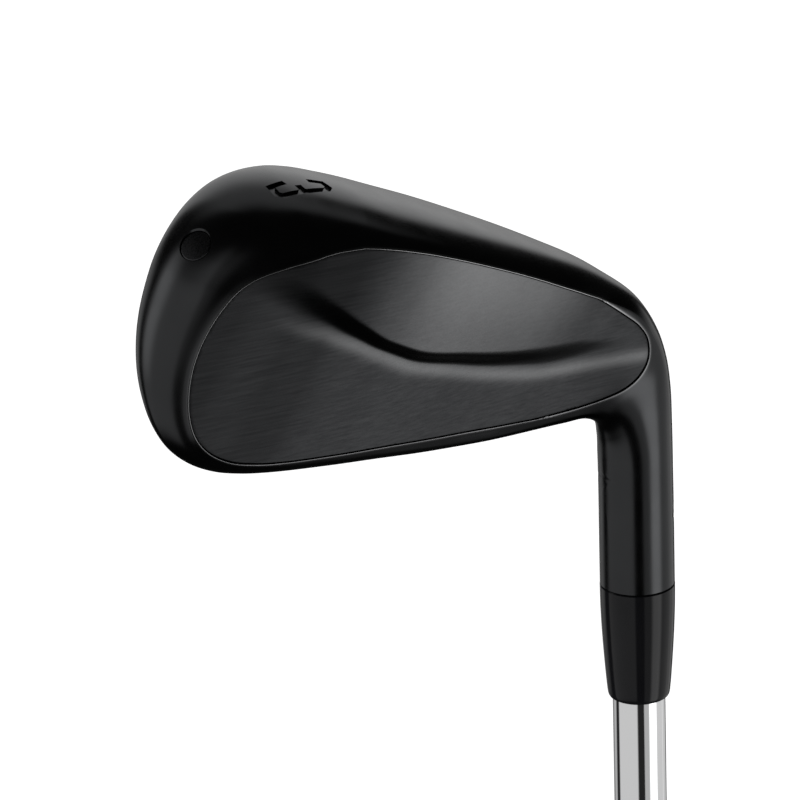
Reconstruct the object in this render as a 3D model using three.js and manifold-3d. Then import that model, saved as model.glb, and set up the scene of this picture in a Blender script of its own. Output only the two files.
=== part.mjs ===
// Iron golf club: a long iron with a hollow, muscle-backed head, standing head
// up on its grip butt.  Millimetres, +Z up along the shaft axis, origin at the
// butt.  Toe towards -X, back of the head towards -Y, hitting face towards +Y.
import * as THREE from "three";
import { mergeVertices } from "three/addons/utils/BufferGeometryUtils.js";
import Module from "manifold-3d";

// ---- driving dimensions ----------------------------------------------------
const CLUB_LENGTH = 990;          // butt to ground along the shaft axis
const SOLE_DROP = 56;             // hosel end to ground along the axis
const BLADE_SHIFT = 0.8;          // how far the blade lies heelwards of the shaft axis
const HOSEL_Z = CLUB_LENGTH - SOLE_DROP;
const LIE = THREE.MathUtils.degToRad(60.2);
const LOFT = THREE.MathUtils.degToRad(20);
const LEADING_F = 4.0;            // leading edge ahead of the shaft axis
const FACE_THICK = 2.0;
const BACK_THICK = 1.6;
const HEEL_THICK = 1.1;           // back plate near the heel
const WELD_GAP = 0.12;            // clearance round the welded plates
const LEDGE = 1.3;                // seat under the back plate's edge
const PLUG_R = 2.85;

const HOSEL_R = 6.65;
const BORE_R = 5.05;
const BORE_DEPTH = 32;
const SHAFT_IN_HOSEL = 29;
const SHAFT_TIP_R = 4.7;
const SHAFT_BUTT_R = 7.62;
const SHAFT_WALL = 0.42;
const SHAFT_STEPS = { count: 14, from: 330, to: 842, half: 0.8 };

const FERRULE_LENGTH = 21.8;
const GRIP_LENGTH = 267;
const GRIP_CAP_R = 13.4;
const GRIP_MOUTH_R = 9.3;
const GRIP_CAP_THICK = 4.8;
const GRIP_RING_PITCH = 12;
const VENT_R = 1.6;
const BAND = { from: 280, to: 316, thick: 0.12 };

// ---- head axes at address: T heel to toe, F target, U up --------------------
const T = [-Math.sin(LIE), Math.cos(LIE)];
const U = [-Math.cos(LIE), -Math.sin(LIE)];
const toXZ = ([t, u]) => [
  BLADE_SHIFT + t * T[0] + u * U[0],
  SOLE_DROP + t * T[1] + u * U[1],
];
const toTU = (x, z) => [
  (x - BLADE_SHIFT) * T[0] + (z - SOLE_DROP) * T[1],
  (x - BLADE_SHIFT) * U[0] + (z - SOLE_DROP) * U[1],
];

// ---- small maths ------------------------------------------------------------
const { lerp, clamp, smoothstep } = THREE.MathUtils;
const between = (a, b, k) => [lerp(a[0], b[0], k), lerp(a[1], b[1], k)];
const distance = (a, b) => Math.hypot(b[0] - a[0], b[1] - a[1]);

// A smooth curve through [x, y] rows that never overshoots them.
function curveThrough(rows) {
  const last = rows.length - 1;
  const slope = rows.slice(1).map((r, i) => (r[1] - rows[i][1]) / (r[0] - rows[i][0]));
  const tangent = rows.map((_, i) => {
    if (i === 0) return slope[0];
    if (i === last) return slope[last - 1];
    const [a, b] = [slope[i - 1], slope[i]];
    return a * b <= 0 ? 0 : (2 * a * b) / (a + b);
  });
  return (x) => {
    if (x <= rows[0][0]) return rows[0][1];
    if (x >= rows[last][0]) return rows[last][1];
    let i = 0;
    while (x > rows[i + 1][0]) i += 1;
    const h = rows[i + 1][0] - rows[i][0];
    const k = (x - rows[i][0]) / h;
    const start = (1 + 2 * k) * (1 - k) ** 2 * rows[i][1] + k * (1 - k) ** 2 * h * tangent[i];
    const end = k * k * (3 - 2 * k) * rows[i + 1][1] + k * k * (k - 1) * h * tangent[i + 1];
    return start + end;
  };
}

// ---- head outline -----------------------------------------------------------
// Each row: sole-side edge, spine, topline-side edge.  The hosel rows are
// [x, z above the hosel end]; the blade rows and the toe are [t, u].
const HOSEL_ROWS = [
  [[6.65, 0], [0, 0], [-6.65, 0]],
  [[6.65, 10], [0, 10], [-6.65, 10]],
  [[6.6, 21], [0, 20.2], [-6.65, 19]],
  [[6.5, 30], [-0.1, 27.4], [-6.75, 25]],
  [[6.15, 37.5], [-0.8, 32.8], [-7.1, 29]],
  [[5.2, 43.4], [-2.0, 37.6], [-8.1, 32.4]],
  [[3.3, 49.0], [-4.4, 42.2], [-10.9, 34.2]],
  [[-0.3, 54.8], [-8.6, 45.6], [-15.5, 34.6]],
  [[-6.2, 59.7], [-14.0, 48.1], [-20.9, 34.9]],
];
const BLADE_ROWS = [
  [[13, -0.2], [13.6, 13.2], [14, 32.0]],
  [[20, -0.2], [20, 16.4], [20, 35.1]],
  [[28, 0.0], [28, 19.5], [28, 39.0]],
  [[37, 0.5], [37, 22.1], [37, 43.0]],
  [[46, 1.2], [45.5, 22.6], [46, 47.1]],
  [[54, 2.1], [52.5, 20.9], [54, 50.7]],
  [[60, 2.8], [58, 19.4], [60, 53.1]],
];
const TOE_POINTS = [
  [65, 3.6], [69.5, 4.5], [74.1, 6.0], [78.8, 8.7], [82.4, 12.1], [85.0, 16.3],
  [86.6, 20.9], [87.4, 26], [87.3, 31], [86.7, 35.7], [85.5, 40.1], [83.6, 44.4],
  [81.1, 48.1], [77.9, 51.4], [74.0, 53.8], [69.5, 54.8], [64.8, 54.5],
];

// The outline runs as one smooth curve from the hosel end along the heel and
// sole, round the toe and back along the topline.  Whole numbers are the rows.
const rows = [...HOSEL_ROWS, ...BLADE_ROWS.map((row) => row.map(toXZ))];
const ROWS = rows.length;
const spline = (points) => new THREE.CatmullRomCurve3(
  points.map(([x, z]) => new THREE.Vector3(x, 0, z)), false, "centripetal");
const pointOn = (curve, k) => {
  const v = curve.getPoint(clamp(k, 0, 1));
  return [v.x, v.z];
};
const outlinePoints = [
  ...rows.map((row) => row[0]), ...TOE_POINTS.map(toXZ), ...rows.map((row) => row[2]).reverse(),
];
const END = outlinePoints.length - 1;
const TOE_START = ROWS - 1;
const TOE_SPAN = END - 2 * TOE_START;
const outline = spline(outlinePoints);
const spine = spline(rows.map((row) => row[1]));
const outlineAt = (i) => pointOn(outline, i / END);
const rowOf = (i) => Math.min(i, END - i, TOE_START);
const spineAt = (i) => pointOn(spine, rowOf(i) / TOE_START);
const roundToe = (i) => clamp((i - TOE_START) / TOE_SPAN, 0, 1);   // 0 sole, 1 topline

// ---- front and back surfaces of the blade ------------------------------------
const faceDepth = (t, u) => LEADING_F - u * Math.tan(LOFT);
const backLedge = curveThrough([
  [-8, -7.8], [6, -8.4], [21, -11.2], [36, -15.0], [46, -17.0], [58, -18.2], [90, -18.8],
]);
const BACK_TILT = 0.055;
// Crease where the thick muscle starts to fall towards the topline: its place,
// the width of the fall and its depth, all along t.
const creaseU = curveThrough([
  [-6, 3.4], [-0.5, 5.8], [16.4, 13.7], [24, 16.8], [30.9, 18.9], [41.6, 21.5],
  [46.9, 21.6], [52.6, 20.6], [60.5, 18.5], [65.7, 17.2], [90, 16],
]);
const creaseWidth = curveThrough([
  [-6, 4.0], [13, 4.9], [22, 4.2], [40, 3.0], [46.5, 2.8], [57, 4.4], [65, 6.6], [90, 8],
]);
const creaseDepth = curveThrough([
  [-6, 0.3], [2, 0.8], [14, 1.6], [30, 2.2], [50, 2.3], [64, 1.7], [74, 0.7], [90, 0.2],
]);
const CREASE_BIAS = 0.35;         // share of the fall that sinks the lower level
const ledgeDepth = (t, u) => backLedge(t) - BACK_TILT * (u - 4) + creaseDepth(t) * CREASE_BIAS;
const aboveCrease = (t, u) => 1 - smoothstep(u, creaseU(t), creaseU(t) + creaseWidth(t));
const backDepth = (t, u) => ledgeDepth(t, u) - creaseDepth(t) * aboveCrease(t, u);

// ---- rim between face and back ------------------------------------------------
const soleBorder = curveThrough([
  [-10, 1.9], [2, 2.0], [6, 2.6], [11, 3.4], [22, 3.5], [33, 3.6], [45, 4.0], [55, 4.9], [60, 6.0],
]);
const toeBorder = curveThrough([
  [0, 6.0], [0.08, 7.9], [0.16, 10.7], [0.24, 13.4], [0.32, 13.9], [0.43, 11.6],
  [0.5, 10.4], [0.57, 9.6], [0.63, 8.6], [0.72, 7.1], [0.8, 5.5], [0.88, 3.9], [1, 2.7],
]);
const toplineBorder = curveThrough([
  [-10, 1.9], [2, 2.0], [6, 2.5], [11, 3.3], [26, 3.6], [46, 3.2], [57, 2.8], [62, 2.7],
]);
const toeCorner = curveThrough([[0, 0.5], [0.25, 2.2], [0.45, 3.0], [0.7, 1.8], [1, 0.3]]);
// How far in from the outline the back panel starts.
function borderInset(i) {
  const [t] = toTU(...outlineAt(i));
  const w = roundToe(i);
  if (w <= 0) return soleBorder(t);
  return w >= 1 ? toplineBorder(t) : toeBorder(w);
}

// ---- outer skin ---------------------------------------------------------------
const FACE_STEPS = 3;
const RIM_STEPS = 10;
const BACK_STEPS = 8;

// Blade profile from the spine over the face edge and rim to the spine again,
// as [inset from the outline, depth].
function bladeProfile(i, edgePoint, length, at) {
  const face = (n) => faceDepth(...toTU(...at(n)));
  const back = (n) => backDepth(...toTU(...at(n)));
  const w = roundToe(i);
  const [t] = toTU(...edgePoint);
  const edge = lerp(1.5, 0.7, smoothstep(w, 0.1, 0.6));
  const inset = borderInset(i);
  const profile = [];
  for (let j = 0; j <= FACE_STEPS; j += 1) {
    const n = lerp(length, edge, j / FACE_STEPS);
    profile.push([n, face(n)]);
  }
  profile.push([edge * 0.3, face(edge * 0.3) - edge * 0.22]);
  const start = new THREE.Vector2(0.1, face(0) - edge);
  const end = new THREE.Vector2(inset, back(inset));
  const depth = start.y - end.y;
  const bulge = new THREE.Vector2(-lerp(0.9, 0.25, smoothstep(w, 0.3, 1)), start.y - 0.42 * depth);
  const corner = new THREE.Vector2(toeCorner(w), end.y + 0.06 * depth);
  const rim = new THREE.CubicBezierCurve(start, bulge, corner, end);
  for (const p of rim.getPoints(RIM_STEPS)) profile.push([p.x, p.y]);
  // towards the topline the last points gather in the crease
  const fall = creaseWidth(t) * 0.95;
  const half = BACK_STEPS / 2;
  for (let j = 1; j <= BACK_STEPS; j += 1) {
    const even = lerp(inset, length, j / BACK_STEPS);
    const gathered = j <= half
      ? lerp(inset, length - fall, j / half)
      : lerp(length - fall, length, (j - half) / half);
    const n = lerp(even, gathered, smoothstep(w, 0.75, 1));
    profile.push([n, back(n)]);
  }
  return profile;
}

// One rib: the blade profile fading into half of the hosel's circle.
const BLEND_ROWS = [2.6, 9.6];
function rib(i) {
  const edge = outlineAt(i);
  const centre = spineAt(i);
  const length = distance(edge, centre);
  const at = (n) => between(edge, centre, n / length);
  const blade = bladeProfile(i, edge, length, at);
  const share = smoothstep(rowOf(i), ...BLEND_ROWS);
  return blade.map(([n, depth], j) => {
    const angle = Math.PI * (0.5 - j / (blade.length - 1));
    const [x, z] = at(lerp(length * (1 - Math.cos(angle)), n, share));
    return [x, lerp(HOSEL_R * Math.sin(angle), depth, share), z];
  });
}

function meshOf(position, index) {
  const geometry = new THREE.BufferGeometry();
  geometry.setAttribute("position", new THREE.Float32BufferAttribute(position.flat(), 3));
  geometry.setIndex(index);
  return geometry;
}

const RIBS_PER_ROW = 2;
function skinGeometry() {
  const ribs = [];
  for (let k = 0; k <= END * RIBS_PER_ROW; k += 1) ribs.push(rib(k / RIBS_PER_ROW));
  const width = ribs[0].length;
  const last = ribs.length - 1;
  const id = (i, j) => i * width + j;
  const index = [];
  for (let i = 0; i < last; i += 1) {
    for (let j = 0; j < width - 1; j += 1) {
      index.push(id(i, j), id(i + 1, j), id(i, j + 1));
      index.push(id(i + 1, j), id(i + 1, j + 1), id(i, j + 1));
    }
  }
  // the flat hosel end is a fan round the axis
  const axis = ribs.length * width;
  for (let j = 0; j < width - 1; j += 1) {
    index.push(axis, id(0, j), id(0, j + 1));
    index.push(axis, id(last, j + 1), id(last, j));
  }
  return meshOf([...ribs.flat(), [0, 0, 0]], index);
}

// ---- solids --------------------------------------------------------------------
const wasm = await Module();
wasm.setup();

function solid(geometry) {
  const bare = geometry.clone();
  for (const key of Object.keys(bare.attributes)) {
    if (key !== "position") bare.deleteAttribute(key);
  }
  const merged = mergeVertices(bare, 1e-4);
  const source = merged.index.array;
  const corners = [];
  for (let i = 0; i < source.length; i += 3) {
    const [a, b, c] = source.slice(i, i + 3);
    if (a !== b && b !== c && a !== c) corners.push([a, b, c]);
  }
  const build = (list) => {
    const mesh = new wasm.Mesh({
      numProp: 3,
      vertProperties: new Float32Array(merged.attributes.position.array),
      triVerts: new Uint32Array(list.flat()),
    });
    mesh.merge();
    return new wasm.Manifold(mesh);
  };
  const result = build(corners);
  return result.volume() > 0 ? result : build(corners.map(([a, b, c]) => [a, c, b]));
}

function geometryOf(manifold) {
  const mesh = manifold.getMesh();
  const geometry = new THREE.BufferGeometry();
  geometry.setAttribute("position",
    new THREE.Float32BufferAttribute(Float32Array.from(mesh.vertProperties), 3));
  geometry.setIndex(Array.from(mesh.triVerts));
  return geometry;
}

// Closed prism from rings of points with equal counts, first and last capped
// by a fan.  Each ring is convex.
function loftSolid(rings) {
  const n = rings[0].length;
  const index = [];
  for (let r = 0; r < rings.length - 1; r += 1) {
    for (let a = 0; a < n; a += 1) {
      const b = (a + 1) % n;
      index.push(r * n + a, r * n + b, (r + 1) * n + a);
      index.push(r * n + b, (r + 1) * n + b, (r + 1) * n + a);
    }
  }
  const top = (rings.length - 1) * n;
  for (let a = 1; a < n - 1; a += 1) {
    index.push(0, a + 1, a);
    index.push(top, top + a, top + a + 1);
  }
  return solid(meshOf(rings.flat(), index));
}

// Slab along Y between two chains of (x, z) points, with its two skins given
// as depth functions of (t, u); low is towards the back.
function slab([chainA, chainB], low, high, columns = 8) {
  const length = chainA.length;
  const width = columns + 1;
  const position = [];
  for (const depth of [low, high]) {
    for (let i = 0; i < length; i += 1) {
      for (let c = 0; c <= columns; c += 1) {
        const [x, z] = between(chainA[i], chainB[i], c / columns);
        position.push([x, depth(...toTU(x, z)), z]);
      }
    }
  }
  const lo = (i, c) => i * width + c;
  const hi = (i, c) => (length + i) * width + c;
  const index = [];
  const quad = (a, b, c, d) => index.push(a, b, c, a, c, d);
  for (let i = 0; i < length - 1; i += 1) {
    for (let c = 0; c < columns; c += 1) {
      quad(lo(i, c), lo(i + 1, c), lo(i + 1, c + 1), lo(i, c + 1));
      quad(hi(i, c), hi(i, c + 1), hi(i + 1, c + 1), hi(i + 1, c));
    }
    quad(lo(i, 0), hi(i, 0), hi(i + 1, 0), lo(i + 1, 0));
    quad(lo(i, columns), lo(i + 1, columns), hi(i + 1, columns), hi(i, columns));
  }
  for (let c = 0; c < columns; c += 1) {
    quad(lo(0, c), lo(0, c + 1), hi(0, c + 1), hi(0, c));
    const e = length - 1;
    quad(lo(e, c), hi(e, c), hi(e, c + 1), lo(e, c + 1));
  }
  return solid(meshOf(position, index));
}

// Two chains at an inset from the outline, one on the sole side and one on the
// topline side, from row `from` to the middle of the toe.
const TOE_END_HALF = 0.15;
function chains(inset, from) {
  const point = (i) => {
    const edge = outlineAt(i);
    const centre = spineAt(i);
    return between(edge, centre, inset(i) / distance(edge, centre));
  };
  const soleSide = [];
  const toplineSide = [];
  for (let i = from; i <= END / 2; i += 1) {
    soleSide.push(point(i));
    toplineSide.push(point(END - i));
  }
  const [x, z] = soleSide.pop();
  toplineSide.pop();
  soleSide.push([x, z + TOE_END_HALF]);
  toplineSide.push([x, z - TOE_END_HALF]);
  return [soleSide, toplineSide];
}
const FAR_BACK = () => -45;
const FAR_FRONT = () => 30;
const blank = solid(skinGeometry());

// ---- back plate ------------------------------------------------------------------
const HEEL_SOLE_SIDE = [[-5.0, 9.9], [-3.4, 7.0], [-0.4, 5.2], [3.4, 4.3]].map(toXZ);
const HEEL_TOP_SIDE = [[-4.9, 13.0], [-3.6, 16.0], [-0.9, 19.2], [3.4, 22.7]].map(toXZ);
const PLATE_MIDDLE = toXZ([30, 20]);
const backThick = (t) => lerp(HEEL_THICK, BACK_THICK, smoothstep(t, 16, 42));
const MUSCLE_SHARE = 0.7;         // how much of the muscle the inside follows
const backInner = (gap) => (t, u) =>
  ledgeDepth(t, u) - MUSCLE_SHARE * creaseDepth(t) * aboveCrease(t, u) + backThick(t) - gap;
function plateChains(gap) {
  const sides = chains((i) => borderInset(i) + gap, HOSEL_ROWS.length - 1);
  const inward = (p) => between(p, PLATE_MIDDLE, gap / distance(p, PLATE_MIDDLE));
  return [
    [...HEEL_SOLE_SIDE.map(inward), ...sides[0]],
    [...HEEL_TOP_SIDE.map(inward), ...sides[1]],
  ];
}
const backPocket = slab(plateChains(0), FAR_BACK, backInner(0));
const backPlate = blank.intersect(slab(plateChains(WELD_GAP), FAR_BACK, backInner(WELD_GAP)));

// ---- face plate with its scoring ----------------------------------------------------
const FACE_FROM = 10;
const faceInset = (gap) => (i) => lerp(2.3, 2.0, roundToe(i)) + gap;
const faceInner = (gap) => (t, u) => faceDepth(t, u) - FACE_THICK + gap;
const GROOVE = { pitch: 3.7, width: 0.8, depth: 0.4, count: 12, first: 5.2, heel: 21, toe: 66 };
const grooveHeel = curveThrough([
  [0, GROOVE.heel], [31, GROOVE.heel], [35, 24], [39, 31], [43, 40], [47, 50], [50, 56],
]);
function groove(u, from, to) {
  const proud = 0.3;
  const flare = GROOVE.width * (0.5 + 0.5 * proud / GROOVE.depth);
  const section = [[-flare, proud], [flare, proud], [0, -GROOVE.depth]];
  return loftSolid([from, to].map((t) => section.map(([along, out]) => {
    const up = u + along * Math.cos(LOFT) + out * Math.sin(LOFT);
    const forward = faceDepth(t, u) - along * Math.sin(LOFT) + out * Math.cos(LOFT);
    const [x, z] = toXZ([t, up]);
    return [x, forward, z];
  })));
}
function scoredFacePlate() {
  const plate = slab(chains(faceInset(WELD_GAP), FACE_FROM), faceInner(WELD_GAP), FAR_FRONT, 1);
  let face = blank.intersect(plate);
  for (let i = 0; i < GROOVE.count; i += 1) {
    const u = GROOVE.first + i * GROOVE.pitch * Math.cos(LOFT);
    const from = grooveHeel(u + 1);
    if (GROOVE.toe - from > 6) face = face.subtract(groove(u, from, GROOVE.toe));
  }
  return face;
}
const facePocket = slab(chains(faceInset(0), FACE_FROM), faceInner(0), FAR_FRONT, 1);

// ---- cavity and the weight low in the toe ---------------------------------------------
const CAVITY_FROM = 11;
const cavityInset = (gap) => (i) =>
  Math.max(borderInset(i) + LEDGE, lerp(3.9, 3.2, roundToe(i))) + gap;
const cavity = slab(chains(cavityInset(0), CAVITY_FROM), FAR_BACK, FAR_FRONT, 1);
const WEIGHT = { from: 50, to: 73, bottom: -4, top: 13.2, rise: 6, steps: 6, gap: 0.3 };
function toeWeight() {
  const room = slab(chains(cavityInset(WEIGHT.gap), CAVITY_FROM),
    backInner(-WEIGHT.gap), faceInner(-WEIGHT.gap));
  const low = [];
  const high = [];
  for (let i = 0; i <= WEIGHT.steps; i += 1) {
    const t = lerp(WEIGHT.from, WEIGHT.to, i / WEIGHT.steps);
    low.push(toXZ([t, WEIGHT.bottom]));
    high.push(toXZ([t, WEIGHT.top + WEIGHT.rise * i / WEIGHT.steps]));
  }
  return room.intersect(slab([low, high], FAR_BACK, FAR_FRONT, 1));
}

// ---- round pieces along an axis ----------------------------------------------------------
function rod(at, direction, radius, from, to, sides) {
  const geometry = new THREE.CylinderGeometry(radius, radius, to - from, sides);
  geometry.translate(0, (from + to) / 2, 0);
  const turn = new THREE.Quaternion().setFromUnitVectors(new THREE.Vector3(0, 1, 0), direction);
  geometry.applyQuaternion(turn);
  geometry.translate(at.x, at.y, at.z);
  return solid(geometry);
}
const PLUG_AT = new THREE.Vector3(-82.8, -13.3, 80.35);
const PLUG_AXIS = new THREE.Vector3(-0.55, -0.43, 0.716).normalize();
const PLUG = { depth: 5.5, sink: 0.35, sides: 40 };
const plugHole = rod(PLUG_AT, PLUG_AXIS, PLUG_R, -PLUG.depth, 4, PLUG.sides);
const toePlug = rod(PLUG_AT, PLUG_AXIS, PLUG_R - WELD_GAP, WELD_GAP - PLUG.depth, -PLUG.sink, PLUG.sides);
const AXIS_Z = new THREE.Vector3(0, 0, 1);
const bore = rod(new THREE.Vector3(), AXIS_Z, BORE_R, -2, BORE_DEPTH, 48);

// ---- club number cut in the sole -----------------------------------------------------------
const NUMBER_AT = new THREE.Vector3(-63.2, -10.1, 86.3);
const NUMBER_OUT = new THREE.Vector3(0.19, -0.2, 0.96).normalize();
const NUMBER_ALONG = new THREE.Vector3(0.951, 0.286, -0.113).projectOnPlane(NUMBER_OUT).normalize();
const NUMBER_UP = new THREE.Vector3().crossVectors(NUMBER_OUT, NUMBER_ALONG);
const NUMBER = { depth: 0.5, stroke: 1.3, soleRadius: 33 };
// centre lines of a figure 3 lying with its open side to the face
const NUMBER_STROKES = [
  [-1.3, 2.7, -4.9, 2.15], [-4.38, 2.7, -4.51, -0.3], [-4.8, 0.15, -3.4, -1.0],
  [-3.9, -0.86, -0.1, -0.74], [-0.5, -0.8, 0.8, -0.4], [0.6, -1.0, 0.6, 1.4],
  [0.4, -0.4, 1.7, -0.78], [1.3, -0.72, 5.9, -0.38], [5.4, -0.6, 6.7, 0.7],
  [6.52, 0.2, 6.28, 2.7], [6.7, 2.2, 3.6, 2.85],
];
function strokeCutter([x0, y0, x1, y1]) {
  const along = new THREE.Vector2(x1 - x0, y1 - y0).normalize();
  const [sx, sy] = [-along.y * NUMBER.stroke / 2, along.x * NUMBER.stroke / 2];
  const corners = [[x0 + sx, y0 + sy], [x0 - sx, y0 - sy], [x1 - sx, y1 - sy], [x1 + sx, y1 + sy]];
  const ring = (height) => corners.map(([x, y]) => NUMBER_AT.clone()
    .addScaledVector(NUMBER_ALONG, x)
    .addScaledVector(NUMBER_UP, y)
    .addScaledVector(NUMBER_OUT, height(x, y))
    .toArray());
  const floor = (x, y) => -NUMBER.depth - (x * x + y * y) / (2 * NUMBER.soleRadius);
  return loftSolid([ring(floor), ring(() => 2)]);
}

function headBody() {
  let body = blank.subtract(backPocket).subtract(facePocket).subtract(cavity);
  body = body.subtract(plugHole).subtract(bore);
  const strokes = NUMBER_STROKES.map(strokeCutter);
  return body.subtract(strokes.reduce((sum, next) => sum.add(next)));
}

// ---- scene --------------------------------------------------------------------------------
const club = new THREE.Group();
club.name = "iron_golf_club";
const head = new THREE.Group();
head.position.z = HOSEL_Z;
club.add(head);

function add(parent, name, geometry, color, metalness, roughness, z = 0) {
  const merged = mergeVertices(geometry, 1e-3);
  merged.computeVertexNormals();
  const mesh = new THREE.Mesh(merged, new THREE.MeshStandardMaterial({ color, metalness, roughness }));
  mesh.name = name;
  mesh.position.z = z;
  parent.add(mesh);
}

// A turned piece about Z from a closed or axis-to-axis [radius, z] profile.
function turned(profile, sides) {
  const geometry = new THREE.LatheGeometry(profile.map(([r, z]) => new THREE.Vector2(r, z)), sides);
  return geometry.rotateX(Math.PI / 2);
}
const sleeve = (inner, outer, from, to) => [
  [inner, from], [outer, from], [outer, to], [inner, to], [inner, from],
];

add(head, "head_body", geometryOf(headBody()), 0x131315, 0.9, 0.4);
add(head, "back_plate", geometryOf(backPlate), 0x242427, 0.9, 0.45);
add(head, "face_plate", geometryOf(scoredFacePlate()), 0x1b1b1d, 0.9, 0.5);
add(head, "toe_plug", geometryOf(toePlug), 0x101012, 0.9, 0.5);
add(head, "toe_weight", geometryOf(toeWeight()), 0x6c6f72, 0.9, 0.5);

// ---- shaft and what joins it to the head -----------------------------------------------------
function shaftProfile() {
  const outer = [[SHAFT_BUTT_R, GRIP_CAP_THICK + 0.2]];
  const { count, from, to, half } = SHAFT_STEPS;
  for (let i = 0; i < count; i += 1) {
    const z = lerp(from, to, i / (count - 1));
    outer.push([lerp(SHAFT_BUTT_R, SHAFT_TIP_R, i / count), z - half]);
    outer.push([lerp(SHAFT_BUTT_R, SHAFT_TIP_R, (i + 1) / count), z + half]);
  }
  outer.push([SHAFT_TIP_R, HOSEL_Z + SHAFT_IN_HOSEL]);
  const inner = outer.map(([r, z]) => [r - SHAFT_WALL, z]).reverse();
  return [...outer, ...inner, outer[0]];
}
const PIN_R = SHAFT_TIP_R - SHAFT_WALL - 0.15;
const PIN_HEAD_R = SHAFT_TIP_R - 0.1;
const pinProfile = [
  [0, -18], [PIN_R - 0.4, -18], [PIN_R, -17.6], [PIN_R, 0.25],
  [PIN_HEAD_R, 0.25], [PIN_HEAD_R, 1.6], [0, 1.6],
];
const FERRULE_BORE_R = SHAFT_TIP_R + 0.12;
const ferruleProfile = [
  [FERRULE_BORE_R, -FERRULE_LENGTH], [4.95, -FERRULE_LENGTH], [5.34, -21.6], [5.58, -20.8],
  [5.77, -18.9], [6.07, -15], [6.32, -11.3], [6.54, -7], [6.65, -3.6], [6.69, -0.3],
  [6.5, -0.15], [FERRULE_BORE_R, -0.15], [FERRULE_BORE_R, -FERRULE_LENGTH],
];
const bondProfile = sleeve(SHAFT_TIP_R + 0.12, BORE_R - 0.1, 1, SHAFT_IN_HOSEL - 0.5);
add(club, "shaft", turned(shaftProfile(), 32), 0xd6d8da, 1, 0.08);
add(head, "tip_pin", turned(pinProfile, 40), 0xb58a3c, 1, 0.35, SHAFT_IN_HOSEL);
add(head, "hosel_bond", turned(bondProfile, 40), 0xb99a5a, 0, 0.5);
add(head, "ferrule", turned(ferruleProfile, 56), 0x0b0b0c, 0, 0.18);

// ---- grip, its tape and the band below it ------------------------------------------------------
const TAPE = { inner: SHAFT_BUTT_R + 0.1, outer: SHAFT_BUTT_R + 0.35, from: 7, to: GRIP_LENGTH - 4 };
const GRIP_BORE_R = TAPE.outer + 0.12;
const gripRadius = curveThrough([
  [8, 12.95], [40, 12.55], [90, 11.9], [150, 11.0], [210, 10.1], [GRIP_LENGTH, GRIP_MOUTH_R],
]);
function gripProfile() {
  const outer = [
    [VENT_R, 0], [11.6, 0], [12.7, 0.5], [13.25, 1.5], [GRIP_CAP_R, 3.2], [GRIP_CAP_R, 5.6],
    [13.1, 7.6], [gripRadius(8.6), 8.6],
  ];
  for (let z = 14; z < GRIP_LENGTH - 11; z += GRIP_RING_PITCH) {
    outer.push([gripRadius(z), z], [gripRadius(z) - 0.35, z + 0.45], [gripRadius(z + 0.9), z + 0.9]);
  }
  const lip = GRIP_MOUTH_R + 0.35;
  outer.push([gripRadius(258), 258], [lip, 259], [lip, 264.5]);
  outer.push([GRIP_MOUTH_R, 266.4], [GRIP_MOUTH_R - 0.5, GRIP_LENGTH]);
  const inside = [
    [GRIP_BORE_R, GRIP_LENGTH], [GRIP_BORE_R, GRIP_CAP_THICK], [VENT_R, GRIP_CAP_THICK], [VENT_R, 0],
  ];
  return [...outer, ...inside];
}
const bandInner = SHAFT_BUTT_R + 0.08;
add(club, "grip_tape", turned(sleeve(TAPE.inner, TAPE.outer, TAPE.from, TAPE.to), 40), 0xe6e2d6, 0, 0.9);
add(club, "grip", turned(gripProfile(), 36), 0x17171a, 0, 0.8);
add(club, "shaft_band", turned(sleeve(bandInner, bandInner + BAND.thick, BAND.from, BAND.to), 40),
  0x3a3d41, 0, 0.5);

export default club;
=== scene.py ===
# Iron golf club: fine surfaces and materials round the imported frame.
# Blender objects are in metres.  The shape functions work in millimetres, the
# head's with z measured from the hosel end, and Piece.mesh() makes metres of them.
from math import cos, pi, radians, sin, tan

import bmesh
import bpy
import numpy as np
from mathutils import Matrix, Vector
from mathutils.geometry import delaunay_2d_cdt


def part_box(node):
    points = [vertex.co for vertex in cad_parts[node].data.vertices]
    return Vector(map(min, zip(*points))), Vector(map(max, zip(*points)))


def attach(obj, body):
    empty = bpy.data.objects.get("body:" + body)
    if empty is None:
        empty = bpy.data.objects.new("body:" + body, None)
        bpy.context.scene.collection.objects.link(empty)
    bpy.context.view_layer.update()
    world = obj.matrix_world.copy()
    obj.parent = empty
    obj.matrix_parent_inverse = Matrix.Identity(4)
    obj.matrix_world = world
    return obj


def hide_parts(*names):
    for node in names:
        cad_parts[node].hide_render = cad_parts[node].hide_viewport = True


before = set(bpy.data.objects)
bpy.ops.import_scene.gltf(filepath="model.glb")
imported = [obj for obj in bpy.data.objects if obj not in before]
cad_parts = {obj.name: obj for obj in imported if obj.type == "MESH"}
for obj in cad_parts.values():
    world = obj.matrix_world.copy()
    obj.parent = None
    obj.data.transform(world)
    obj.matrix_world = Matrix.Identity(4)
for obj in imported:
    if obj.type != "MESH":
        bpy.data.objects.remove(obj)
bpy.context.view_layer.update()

MM = 0.001
BODY = "root"


def box_mm(node):
    """Lowest and highest corner of a CAD node, in millimetres."""
    low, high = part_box(node)
    return np.array(low) / MM, np.array(high) / MM


HOSEL_Z = box_mm("head_body")[0][2]
FERRULE_Z = box_mm("ferrule")[0][2]
FERRULE_TOP = box_mm("ferrule")[1][2]
GRIP_LENGTH = box_mm("grip")[1][2]
GRIP_CAP_R = box_mm("grip")[1][0]
SHAFT_LOW, SHAFT_HIGH = box_mm("shaft")
BAND_LOW, BAND_HIGH = box_mm("shaft_band")


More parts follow.
